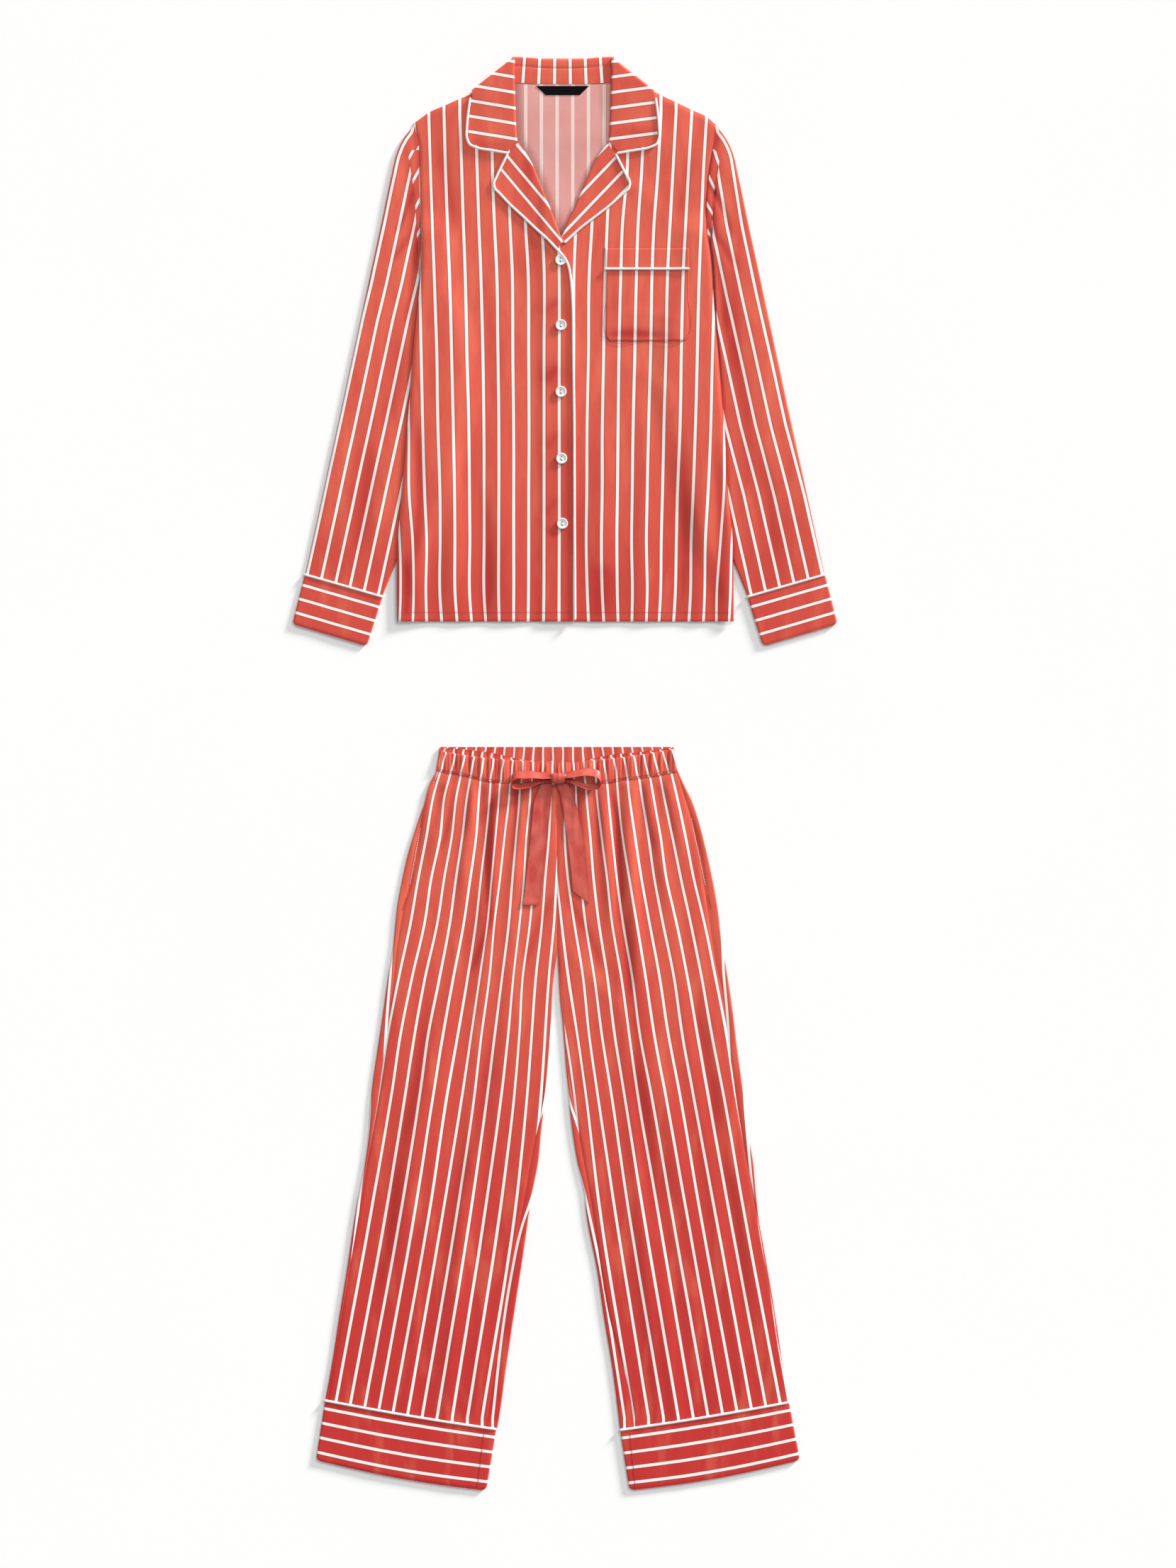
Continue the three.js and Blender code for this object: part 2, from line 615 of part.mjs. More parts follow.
// The collar is one folded piece: a flap on each front, turning over at the shoulders into the fall
// under the back, which folds up at the top into the stand inside the neck
function addCollar(body) {
  const flapZ = (x, y) => topOf([body.left, body.right], x, y, 9, LAYER * 2 + WALL) + SEAM + WALL / 2;
  const foldTop = LAYER * 3 + WALL * 1.5 + SEAM * 2;
  const flapRow = (side, row) =>
    fractions(COLLAR_COLUMNS).map((u) => {
      const x = COLLAR_X + side * mix(row.rollX, row.edgeX, u);
      const y = mix(row.rollY, row.edgeY, u);
      const level = Math.max(flapZ(x, y), mix(0, foldTop, ramp(y, 858, 884)));
      return new THREE.Vector3(x, y, level);
    });
  const corner = COLLAR_FRONT.at(-1);
  const foldRow = (side, angle) => {
    const low = WALL / 2;
    const radius = (foldTop - low) / 2;
    const lengthX = corner.edgeX - corner.rollX;
    const lengthY = corner.edgeY - corner.rollY;
    const length = Math.hypot(lengthX, lengthY);
    return fractions(COLLAR_COLUMNS).map((u) => {
      const bulge = Math.sin(angle) * radius;
      const x = mix(corner.rollX, corner.edgeX, u) - (lengthY / length) * bulge;
      const y = mix(corner.rollY, corner.edgeY, u) + (lengthX / length) * bulge;
      return new THREE.Vector3(COLLAR_X + side * x, y, low + radius * (1 + Math.cos(angle)));
    });
  };
  const fallRow = (side, row) =>
    fractions(COLLAR_COLUMNS).map((u) => {
      const x = COLLAR_X + side * mix(row.rollX, row.edgeX, u);
      return new THREE.Vector3(x, mix(COLLAR_TOP_Y - 1, row.edgeY, u), WALL / 2);
    });
  const half = (side) => [
    ...COLLAR_FRONT.map((row) => flapRow(side, row)),
    ...fractions(COLLAR_FOLD_STEPS)
      .slice(1)
      .map((t) => foldRow(side, t * Math.PI)),
    ...COLLAR_BACK.map((row) => fallRow(side, row)),
  ];
  const rows = [...half(-1), ...half(1).reverse().slice(1)];
  const fall = shell(rows);
  const standProfile = [
    { y: COLLAR_TOP_Y - 1.6, z: WALL / 2 },
    { y: COLLAR_TOP_Y - 0.6, z: LAYER * 0.75 },
    { y: COLLAR_TOP_Y - 1.6, z: LAYER + WALL / 2 },
    { y: COLLAR_TOP_Y - 12, z: LAYER + WALL / 2 },
    { y: STAND_BASE_Y, z: LAYER + WALL / 2 },
  ];
  const standGrid = fractions(6).map((u) =>
    standProfile.map(({ y, z }) => new THREE.Vector3(COLLAR_X + mix(-STAND_HALF, STAND_HALF, u), y, z)),
  );
  const [fallSolid, standSolid] = solidsOf(fall, shell(standGrid));
  add("collar", fromSolid(fallSolid.add(standSolid)), CLOTH);
}

function addLapel(side, word, body) {
  const lapelZ = (x, y) => topOf([body.left, body.right], x, y, 7) + SEAM;
  const grid = LAPEL.map((row) =>
    fractions(LAPEL_COLUMNS).map((u) => ({
      x: COLLAR_X + side * mix(row.rollX, row.edgeX, u),
      y: mix(row.rollY, row.edgeY, u),
    })),
  );
  return add(`lapel_${word}`, sheet(grid, lapelZ), CLOTH);
}

function addShirtPiping(body) {
  const fronts = [body.left, body.right];
  const rest = (x, y) => topOf(fronts, x, y, 4, LAYER + WALL) + SEAM + PIPING;
  const path = (rows, side, centre) =>
    rows.map(({ x, y }) => new THREE.Vector3(centre + side * x, y, rest(centre + side * x, y)));
  add("collar_piping_right", cord(path(COLLAR_PIPING, -1, COLLAR_X)), PIPING_FINISH);
  add("collar_piping_left", cord(path(COLLAR_PIPING, 1, COLLAR_X)), PIPING_FINISH);
  add("lapel_piping_right", cord(path(LAPEL_PIPING, -1, COLLAR_X)), PIPING_FINISH);
  add("lapel_piping_left", cord(path(LAPEL_PIPING, 1, COLLAR_X)), PIPING_FINISH);
  const edge = FRONT_PIPING.map(
    ({ x, y }) => new THREE.Vector3(x + PIPING, y, topOf([body.left], x + PIPING, y, 3) + SEAM + PIPING),
  );
  add("front_edge_piping", cord(edge, PIPING, 24), PIPING_FINISH);
}

function addButton(place, number, body) {
  const { radius, height, rim, dish, hole, holeApart } = BUTTON;
  const profile = [
    [0, 0],
    [radius * 0.8, 0],
    [radius, height * 0.35],
    [radius, height * 0.75],
    [radius - rim * 0.6, height],
    [radius - rim * 1.6, height - dish],
    [0, height - dish],
  ].map(([x, y]) => new THREE.Vector2(x, y));
  const disc = new THREE.LatheGeometry(profile, 16).rotateX(Math.PI / 2);
  const bore = (y) =>
    new THREE.CylinderGeometry(hole, hole, height * 3, 6).rotateX(Math.PI / 2).translate(0, y, 0);
  const [discSolid, upper, lower] = solidsOf(disc, bore(holeApart), bore(-holeApart));
  const mesh = add(`button_${number}`, fromSolid(discSolid.subtract(upper).subtract(lower)), BUTTON_FINISH);
  mesh.position.set(place.x, place.y, topOf([body.right, body.left], place.x, place.y, 7) + SEAM);
}

function addPocket(body) {
  const rest = (x, y) => topOf([body.left], x, y, 9) + SEAM;
  const { left, right, top, base, corner } = POCKET;
  const cut = (y) => corner * Math.max(0, 1 - (y - base) / corner);
  const rows = [base, base + corner, ...[0.25, 0.5, 0.75, 1].map((t) => mix(base + corner, top, t))];
  const grid = rows.map((y) =>
    fractions(6).map((u) => ({ x: mix(left + cut(y), right - cut(y), u), y })),
  );
  add("pocket", sheet(grid, rest), CLOTH);
  const band = [POCKET_BAND.base, mix(POCKET_BAND.base, POCKET_BAND.top, 0.5), POCKET_BAND.top];
  const bandGrid = band.map((y) =>
    fractions(6).map((u) => ({ x: mix(POCKET_BAND.left, POCKET_BAND.right, u), y })),
  );
  add("pocket_band", sheet(bandGrid, rest), CLOTH);
  const seamY = (top + POCKET_BAND.base) / 2;
  const path = fractions(5).map((u) => {
    const x = mix(left, right, u);
    return new THREE.Vector3(x, seamY, rest(x, seamY) + PIPING);
  });
  add("pocket_piping", cord(path, PIPING, 8), PIPING_FINISH);
}

function addLabel(body) {
  const rest = (x, y) => topOf([body.back], x, y, 6) + SEAM;
  const rows = [LABEL.base, LABEL.y - 1.2];
  const grid = rows.map((y, j) => {
    const halfWidth = j === 0 ? LABEL.halfBase : LABEL.halfTop;
    return fractions(4).map((u) => ({ x: LABEL.x + mix(-halfWidth, halfWidth, u), y }));
  });
  add("neck_label", sheet(grid, rest), LABEL_FINISH);
}

// Trousers

const legOuter = column(LEG, "y", "outer");
const legInner = { right: column(LEG, "y", "innerRight"), left: column(LEG, "y", "innerLeft") };

const waistSag = (x, sag) => {
  const t = Math.min(1, Math.abs(x - TROUSER_X) / WAIST.halfBase);
  return sag * (1 - ramp(t, 0.05, 1));
};

function legGrid(side, word, topY, columns) {
  const inner = legInner[word];
  return fractions(LEG_ROWS).map((v) =>
    fractions(columns).map((u) => {
      const endY = mix(LEG_END.innerY, LEG_END.outerY, u) + PIPING + SEAM;
      const headX = TROUSER_X + side * mix(0.2, WAIST.halfBase, u);
      const y = mix(topY(headX), endY, v);
      return { x: TROUSER_X + side * mix(inner(y), legOuter(y), u), y };
    }),
  );
}

function addLeg(side, word) {
  const frontTop = (x) => WAIST.baseY - waistSag(x, WAIST.baseSag) - SEAM;
  const backTop = () => WAIST.baseY - SEAM;
  const frontUnder = (x, y) => LAYER + foldHeight(TROUSER_FOLDS, x, y);
  const front = sheet(legGrid(side, word, frontTop, LEG_COLUMNS), frontUnder);
  add(`trouser_back_${word}`, sheet(legGrid(side, word, backTop, BACK_COLUMNS), () => 0), CLOTH);
  return add(`trouser_front_${word}`, front, CLOTH);
}

function addLegCuff(side, word) {
  const inner = legInner[word](LEG_END.innerY);
  const from = { a: plan(legOuter(LEG_END.outerY), LEG_END.outerY), b: plan(inner, LEG_END.innerY) };
  const to = {
    a: plan(LEG_CUFF.outerEndX, LEG_CUFF.outerEndY),
    b: plan(LEG_CUFF.innerEndX, LEG_CUFF.innerEndY),
  };
  const place = (stations) =>
    stations.map(({ a, b }) => ({
      a: plan(a.x + TROUSER_X, a.y),
      b: plan(b.x + TROUSER_X, b.y),
    }));
  const cuff = stretch(from, to, PIPING + SEAM, from.a.distanceTo(to.a));
  const cuffStations = place(bandStations(cuff.from, cuff.to, side, 3));
  add(`leg_cuff_${word}`, flatTube(cuffStations, 10, BAND_HEIGHT, BAND_WALL), CLOTH);
  const piping = stretch(from, to, -PIPING * 0.8, PIPING);
  const pipingStations = place(bandStations(piping.from, piping.to, side, 1));
  const pipingTube = flatTube(pipingStations, 10, BAND_HEIGHT + 0.5, BAND_WALL);
  add(`leg_cuff_${word}_piping`, pipingTube, PIPING_FINISH);
}

// The gathered band is a flattened ring whose front dips below its back at both edges
function addWaistband() {
  const rows = 3;
  const ringRow = (t, inset) => {
    const half = mix(WAIST.halfBase, WAIST.halfTop, t);
    const radius = BAND_HEIGHT / 2;
    const y = (x, sagShare) => {
      const sag = mix(waistSag(x, WAIST.baseSag), waistSag(x, WAIST.topSag), t);
      return mix(WAIST.baseY, WAIST.topY, t) - sag * sagShare;
    };
    const points = [];
    const ruck = (u) => Math.sin(u * Math.PI * 2 * WAIST_RUCKS.count) * WAIST_RUCKS.height;
    for (const u of fractions(WAIST_COLUMNS)) {
      const x = TROUSER_X + mix(-half + radius, half - radius, u);
      points.push(new THREE.Vector3(x, y(x, 1), BAND_HEIGHT - inset + ruck(u)));
    }
    for (const angle of [45, 0, -45]) {
      const turn = THREE.MathUtils.degToRad(angle);
      const x = TROUSER_X + half - radius + Math.cos(turn) * (radius - inset);
      points.push(new THREE.Vector3(x, y(x, 0), radius + Math.sin(turn) * (radius - inset)));
    }
    for (const u of fractions(WAIST_COLUMNS)) {
      const x = TROUSER_X + mix(half - radius, -half + radius, u);
      points.push(new THREE.Vector3(x, y(x, 0), inset));
    }
    for (const angle of [225, 180, 135]) {
      const turn = THREE.MathUtils.degToRad(angle);
      const x = TROUSER_X - half + radius + Math.cos(turn) * (radius - inset);
      points.push(new THREE.Vector3(x, y(x, 0), radius + Math.sin(turn) * (radius - inset)));
    }
    return points;
  };
  const side = (inset) => fractions(rows).map((t) => ringRow(t, inset));
  return add("waistband", wall(side(0), side(BAND_WALL), true), CLOTH);
}

// Ribbon bow

function addTail(rows, word, cut, below) {
  const from = column(rows, "y", "from");
  const to = column(rows, "y", "to");
  const head = rows[0].y;
  const foot = rows.at(-1).y;
  const grid = fractions(TAIL_ROWS).map((v) =>
    fractions(3).map((u) => {
      const y = mix(head, foot, v) + v * cut * (0.5 - u);
      return { x: mix(from(y), to(y), u), y };
    }),
  );
  const rest = (x, y) => Math.max(topOf(below, x, y, 9) + SEAM, mix(BOW_Z - 0.6, 0, ramp(-y, 15, 60)));
  add(`ribbon_tail_${word}`, sheet(grid, rest), RIBBON);
}

function addLoop(path, word) {
  const curve = new THREE.SplineCurve(path.map(({ x, y }) => new THREE.Vector2(x, y)));
  const grid = fractions(18).map((t) => {
    const p = curve.getPoint(t);
    const width = mix(LOOP_PINCH, 1, Math.sin(t * Math.PI));
    return fractions(2).map(
      (v) => new THREE.Vector3(p.x, p.y + LOOP_LEAN.y * width * v, BOW_Z + LOOP_LEAN.z * width * v),
    );
  });
  add(`ribbon_loop_${word}`, shell(grid), RIBBON);
}

function addKnot() {
  const geometry = new THREE.SphereGeometry(1, 12, 8).scale(KNOT.halfX, KNOT.halfY, KNOT.halfZ);
  const mesh = add("ribbon_knot", geometry, RIBBON);
  mesh.position.set(KNOT.x, KNOT.y, KNOT.z + KNOT.halfZ);
}

const shirt = addShirtBody();
for (const [side, word] of [
  [-1, "right"],
  [1, "left"],
]) {
  addSleeve(side, word);
  addSleeveCuff(side, word);
  addLapel(side, word, shirt);
  addLegCuff(side, word);
}
addCollar(shirt);
addShirtPiping(shirt);
BUTTONS.forEach((place, k) => addButton(place, k + 1, shirt));
addPocket(shirt);
addLabel(shirt);

const trouserRight = addLeg(-1, "right");
const trouserLeft = addLeg(1, "left");
const waistband = addWaistband();
const underBow = [trouserRight, trouserLeft, waistband];
addTail(TAIL_RIGHT, "right", 0, underBow);
addTail(TAIL_LEFT, "left", TAIL_LEFT_CUT, underBow);
addLoop(LOOP_RIGHT, "right");
addLoop(LOOP_LEFT, "left");
addKnot();

export default set;
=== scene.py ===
"""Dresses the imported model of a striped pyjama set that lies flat, seen from straight above."""
import math

import bpy
import numpy as np
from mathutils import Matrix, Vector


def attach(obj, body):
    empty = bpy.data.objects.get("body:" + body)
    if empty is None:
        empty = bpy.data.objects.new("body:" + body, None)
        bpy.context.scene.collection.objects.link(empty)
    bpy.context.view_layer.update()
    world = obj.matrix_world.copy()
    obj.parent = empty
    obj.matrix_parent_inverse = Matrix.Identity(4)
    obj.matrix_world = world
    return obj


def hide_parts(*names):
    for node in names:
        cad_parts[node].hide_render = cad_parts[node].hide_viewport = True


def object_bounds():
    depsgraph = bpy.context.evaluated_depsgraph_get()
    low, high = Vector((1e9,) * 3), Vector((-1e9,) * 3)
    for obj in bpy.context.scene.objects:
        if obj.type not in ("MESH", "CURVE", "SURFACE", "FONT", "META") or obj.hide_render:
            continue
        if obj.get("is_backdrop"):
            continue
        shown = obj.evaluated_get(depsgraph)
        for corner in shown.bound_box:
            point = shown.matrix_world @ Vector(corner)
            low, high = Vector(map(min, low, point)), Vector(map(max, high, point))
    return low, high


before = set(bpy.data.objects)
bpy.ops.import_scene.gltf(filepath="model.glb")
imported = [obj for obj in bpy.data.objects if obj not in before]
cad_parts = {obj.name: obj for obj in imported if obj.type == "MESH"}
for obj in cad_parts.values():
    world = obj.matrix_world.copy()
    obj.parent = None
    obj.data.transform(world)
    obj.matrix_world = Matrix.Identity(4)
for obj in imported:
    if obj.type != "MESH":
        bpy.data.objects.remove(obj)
CAD_BOX = [list(corner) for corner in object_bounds()]

bl_info = {
    "name": "Pyjama set",
    "version": (1, 0, 0),
    "blender": (4, 5, 0),
    "location": "3D View > Sidebar > Pyjamas",
    "description": "Makes a striped pyjama set that lies flat, piece by piece",
    "category": "Add Mesh",
}

BODY = "root"
MM = 0.001

# The wearer's right lies at the lower x
SIDES = (("right", -1), ("left", 1))

# Plan places are in millimetres. The charts below are drawn on a finer grid with y downwards:
# one unit is 0.92 mm, and the middle of the set is at this place of the chart.
UNIT = 0.92
MIDDLE = (797, 1091)

# Layers, as in the solid model
WALL = 1.0
SEAM = 0.3
LAYER = WALL + SEAM
TUBE = 2.5
BAND = 3.1


# Sizes and colours that a user would change

class ClothSizes(bpy.types.PropertyGroup):
    """Cloth of the shirt and trousers"""

    cloth: bpy.props.FloatVectorProperty(
        name="Cloth", description="Colour of the shirt", subtype="COLOR", min=0, max=1,
        default=(0.76, 0.128, 0.078))
    # Painted shade: a darker copy of the cloth colour, blended in lower down on the lower shirt and the
    # trouser legs, where the light falls off
    shaded_cloth: bpy.props.FloatVectorProperty(
        name="Deep cloth", description="Colour of the trouser legs at their ends", subtype="COLOR",
        min=0, max=1, default=(0.56, 0.030, 0.027))
    wrong_side: bpy.props.FloatVectorProperty(
        name="Wrong side", description="Paler inside of the cloth", subtype="COLOR", min=0, max=1,
        default=(0.75, 0.35, 0.32))
    stripe: bpy.props.FloatVectorProperty(
        name="Stripe", description="Colour of the stripes", subtype="COLOR", min=0, max=1,
        default=(0.93, 0.88, 0.85))
    stripe_half: bpy.props.FloatProperty(
        name="Half a stripe", description="Half a stripe's width, as a share of the distance between two",
        default=0.094, min=0.01, max=0.4)
    thickness: bpy.props.FloatProperty(
        name="Thickness", description="Thickness of the cloth", unit="LENGTH", default=0.00055)
    grid: bpy.props.FloatProperty(
        name="Grid", description="Size of the faces of the cloth", unit="LENGTH", default=0.0032)


class TrimSizes(bpy.types.PropertyGroup):
    """Piping, buttons, label and ribbon"""

    piping: bpy.props.FloatVectorProperty(
        name="Piping", description="Colour of the piping", subtype="COLOR", min=0, max=1,
        default=(0.92, 0.90, 0.88))
    button: bpy.props.FloatVectorProperty(
        name="Button", description="Colour of the buttons", subtype="COLOR", min=0, max=1,
        default=(0.86, 0.85, 0.83))
    ribbon: bpy.props.FloatVectorProperty(
        name="Ribbon", description="Colour of the satin ribbon", subtype="COLOR", min=0, max=1,
        default=(0.62, 0.068, 0.052))
    label: bpy.props.FloatVectorProperty(
        name="Label", description="Colour of the bare neck label", subtype="COLOR", min=0, max=1,
        default=(0.004, 0.004, 0.005))
    piping_radius: bpy.props.FloatProperty(
        name="Piping radius", description="Radius of the piping", unit="LENGTH", default=0.0016)
    button_radius: bpy.props.FloatProperty(
        name="Button radius", description="Radius of a button", unit="LENGTH", default=0.0072)


class StageSizes(bpy.types.PropertyGroup):
    """Floor, light and camera"""

    floor: bpy.props.FloatVectorProperty(
        name="Floor", description="Colour of the floor", subtype="COLOR", min=0, max=1,
        default=(0.97, 0.97, 0.97))
    key: bpy.props.FloatProperty(
        name="Key light", description="Strength of the light from the upper right", default=1.15)
    low: bpy.props.FloatProperty(
        name="Low light", description="Strength of the low light that draws the shadows", default=5.5)
    fill: bpy.props.FloatProperty(
        name="Fill light", description="Strength of the light from all round", default=0.475)
    height: bpy.props.FloatProperty(
        name="Camera height", description="Height of the camera over the floor", unit="LENGTH",
        default=6.0)


# Shader trees

class Value:
    """A socket of a shader tree on which Python expressions add Math nodes."""

    def __init__(self, finish, socket):
        self.finish = finish
        self.socket = socket

    def math(self, operation, *operands):
        sockets = dict(enumerate(operands))
        return self.finish.node("Math", sockets, operation=operation)

    def __add__(self, other):
        return self.math("ADD", self, other)

    def __radd__(self, other):
        return self.math("ADD", other, self)

    def __sub__(self, other):
        return self.math("SUBTRACT", self, other)

    def __rsub__(self, other):
        return self.math("SUBTRACT", other, self)

    def __mul__(self, other):
        return self.math("MULTIPLY", self, other)

    def __rmul__(self, other):
        return self.math("MULTIPLY", other, self)

    def __abs__(self):
        return self.math("ABSOLUTE", self)

    def __round__(self):
        return self.math("ROUND", self)


class Finish:
    """A material whose node tree is made one node at a time."""

    def __init__(self, name, colour):
        self.material = bpy.data.materials.new(name)
        self.material.use_nodes = True
        self.material.diffuse_color = (*colour, 1)
        self.tree = self.material.node_tree
        self.tree.nodes.clear()

    def node(self, kind, sockets, out=0, **settings):
        made = self.tree.nodes.new("ShaderNode" + kind)
        for name, value in settings.items():
            setattr(made, name, value)
        for key, value in sockets.items():
            if isinstance(value, Value):
                self.tree.links.new(value.socket, made.inputs[key])
            else:
                made.inputs[key].default_value = value
        return Value(self, made.outputs[out])

    def place(self, scale=(1, 1, 1)):
        """The point of the surface, with each axis scaled."""
        point = self.node("TexCoord", {}, out="Object")
        return self.node("VectorMath", {0: point, 1: scale}, operation="MULTIPLY")

    def axis(self, vector, name):
        return self.node("SeparateXYZ", {0: vector}, out=name)

    def along(self, name, axis):
        """One coordinate of a named map of the cloth."""
        return self.axis(self.node("UVMap", {}, uv_map=name), axis)

    def noise(self, scale, detail=2.0, stretch=(1, 1, 1)):
        sockets = {"Vector": self.place(stretch), "Scale": scale, "Detail": detail}
        return self.node("TexNoise", sockets)

    def span(self, value, low, high, to_low=0.0, to_high=1.0):
        """A value carried smoothly from one range to another and held at its ends."""
        sockets = {"Value": value, "From Min": low, "From Max": high, "To Min": to_low, "To Max": to_high}
        return self.node("MapRange", sockets, interpolation_type="SMOOTHSTEP")

    def blend(self, share, first, second):
        first, second = [(*c, 1) if isinstance(c, tuple) else c for c in (first, second)]
        return self.node("Mix", {0: share, 6: first, 7: second}, out=2, data_type="RGBA")

    def surface(self, sockets, bump=None, depth=0.0002, strength=1.0):
        """Ends the tree in one surface, with a bump if there is one."""
        if bump is not None:
            bumps = {"Height": bump, "Distance": depth, "Strength": strength}
            sockets = {**sockets, "Normal": self.node("Bump", bumps)}
        shader = self.node("BsdfPrincipled", sockets)
        self.node_out(shader)
        return self.material

    def node_out(self, shader):
        out = self.tree.nodes.new("ShaderNodeOutputMaterial")
        self.tree.links.new(shader.socket, out.inputs["Surface"])


def colour(values, share=1.0):
    return tuple(float(v) * share for v in values)


def stripe_masks(finish, name, half):
    """The white line of each stripe and the thin darker lines that edge it."""
    waver = (finish.noise(90, 1, (1, 0.15, 1)) - 0.5) * 0.022
    number = finish.along(name, "X") + waver
    off = abs(number - round(number))
    line = finish.span(off, half + 0.018, half - 0.018)
    edge = finish.span(off, half + 0.075, half + 0.012) * (1 - line)
    return line, edge


def striped_cloth(sizes):
    """The right side of the cloth: sateen with stripes that follow the maps of each piece."""
    finish = Finish("Striped sateen", colour(sizes.cloth))
    cloth, shaded_cloth = colour(sizes.cloth), colour(sizes.shaded_cloth)
    # Painted shade: the cloth is blended towards its darker copy down the trouser legs and on the lower
    # shirt, as the light falls off
    down = finish.axis(finish.place(), "Y")
    broad = finish.noise(5, 2, (1, 0.35, 1)) - 0.5
    depth = finish.span(down + broad * 0.3, 0.02, -0.86)
    ground = finish.blend(depth, cloth, shaded_cloth)
    hem = finish.span(down + broad * 0.3, 0.50, 0.20) * finish.span(down, 0.08, 0.14)
    ground = finish.blend(hem * 0.55, ground, shaded_cloth)
    drift = finish.span(finish.noise(16, 3, (1.6, 0.22, 1)), 0.36, 0.70)
    ground = finish.blend(drift * 0.36, ground, (0.58, 0.040, 0.034))
    fleck = finish.span(finish.noise(75, 3, (1.5, 0.35, 1)), 0.44, 0.66)
    ground = finish.blend(fleck * 0.22, ground, (0.58, 0.044, 0.038))
    # Painted sheen: lighter orange patches at random over the sateen
    painted_sheen = finish.span(finish.noise(34, 3, (1.3, 0.3, 1)), 0.50, 0.72)
    ground = finish.blend(painted_sheen * 0.34, ground, (0.82, 0.195, 0.105))
    # Painted shade: darker red where each piece's map puts it in a fold, crease or shaded patch, and a shaded
    # copy of the white stripes there
    shade = finish.along("stripes", "Y")
    ground = finish.blend(shade * 0.8, ground, (0.46, 0.022, 0.020))
    line, edge = stripe_masks(finish, "stripes", sizes.stripe_half)
    turned, turned_edge = stripe_masks(finish, "turned", sizes.stripe_half)
    crumple = finish.span(finish.along("turned", "Y"), 0.35, 0.65)
    line = line * (1 - crumple) + turned * crumple
    edge = edge * (1 - crumple) + turned_edge * crumple
    ground = finish.blend(edge * 0.75, ground, (0.29, 0.048, 0.044))
    white = finish.blend(shade * 0.5, colour(sizes.stripe), (0.62, 0.44, 0.42))
    ground = finish.blend(line, ground, white)
    # Painted shadow: near black where shade and gap together pass 1, in the crevices between layers
    ground = finish.blend(finish.span(shade, 1.0, 1.45), ground, (0.10, 0.022, 0.018))
    weave = finish.noise(2600, 1, (1, 0.3, 1)) + finish.noise(420, 2, (1, 0.4, 1)) * 0.6
    gloss = finish.span(finish.noise(40, 2, (1, 0.3, 1)), 0.3, 0.7, 0.50, 0.62)
    sockets = {
        "Base Color": ground,
        "Roughness": gloss,
        "Specular IOR Level": 0.26,
        "Sheen Weight": 0.03,
        "Sheen Roughness": 0.4,
    }
    return finish.surface(sockets, weave, 0.00012, 0.35)


def wrong_side(sizes):
    """The paler inside of the cloth, on which the stripes show through softly."""
    finish = Finish("Wrong side of the sateen", colour(sizes.wrong_side))
    drift = finish.span(finish.noise(22, 3), 0.3, 0.7)
    pale = colour(sizes.wrong_side)
    ground = finish.blend(drift * 0.35, pale, (0.62, 0.21, 0.17))
    line, edge = stripe_masks(finish, "stripes", sizes.stripe_half * 1.15)
    ground = finish.blend(edge * 0.2, ground, (0.58, 0.24, 0.21))
    ground = finish.blend(line * 0.8, ground, (0.87, 0.74, 0.69))
    # Painted shade from the shade map, darkest beside the roll edges of the collar and lapels
    ground = finish.blend(finish.along("stripes", "Y") * 0.85, ground, (0.30, 0.10, 0.085))
    weave = finish.noise(2200, 1) + finish.noise(380, 2) * 0.7
    return finish.surface({"Base Color": ground, "Roughness": 0.78}, weave, 0.00012, 0.4)


def satin(name, tint, dark, light, gloss):
    """Plain satin for the ribbon, or binding for the piping."""
    finish = Finish(name, tint)
    cloud = finish.span(finish.noise(70, 2, (1, 0.5, 1)), 0.3, 0.7)
    ground = finish.blend(cloud, dark, light)
    # Painted shade from the shade map: darker at the ribbon's edges and ends and in bands across its tails
    ground = finish.blend(finish.along("stripes", "Y") * 0.8, ground, colour(dark, 0.5))
    threads = finish.noise(1900, 1, (1, 0.25, 1)) + finish.noise(260, 2) * 0.8
    roughness = finish.span(finish.noise(160, 2), 0.3, 0.7, gloss - 0.06, gloss + 0.08)
    return finish.surface({"Base Color": ground, "Roughness": roughness}, threads, 0.00015, 0.7)


def button_finish(tint):
    finish = Finish("Polished button", tint)
    cloud = finish.span(finish.noise(300, 3), 0.3, 0.7)
    ground = finish.blend(cloud, colour(tint, 0.96), colour(tint))
    swirl = finish.noise(500, 2)
    sockets = {"Base Color": ground, "Roughness": 0.26, "Coat Weight": 0.3}
    return finish.surface(sockets, swirl, 0.0001, 0.25)


def label_finish(tint):
    finish = Finish("Woven tape", tint)
    rib = finish.noise(1500, 1, (0.2, 1, 1))
    ground = finish.blend(finish.span(rib, 0.3, 0.7), colour(tint), colour(tint, 1.5))
    sockets = {"Base Color": ground, "Roughness": 0.9, "Specular IOR Level": 0.05}
    return finish.surface(sockets, rib, 0.0002, 0.6)


def thread_finish(name, tint):
    finish = Finish(name, tint)
    twist = finish.noise(2400, 1)
    ground = finish.blend(finish.span(twist, 0.3, 0.7), colour(tint, 0.8), colour(tint))
    return finish.surface({"Base Color": ground, "Roughness": 0.6}, twist, 0.0001, 0.6)


def floor_finish(tint):
    finish = Finish("Pale floor", tint)
    ground = finish.blend(finish.noise(3, 2), colour(tint, 0.99), colour(tint))
    return finish.surface({"Base Color": ground, "Roughness": 0.9, "Specular IOR Level": 0.1})


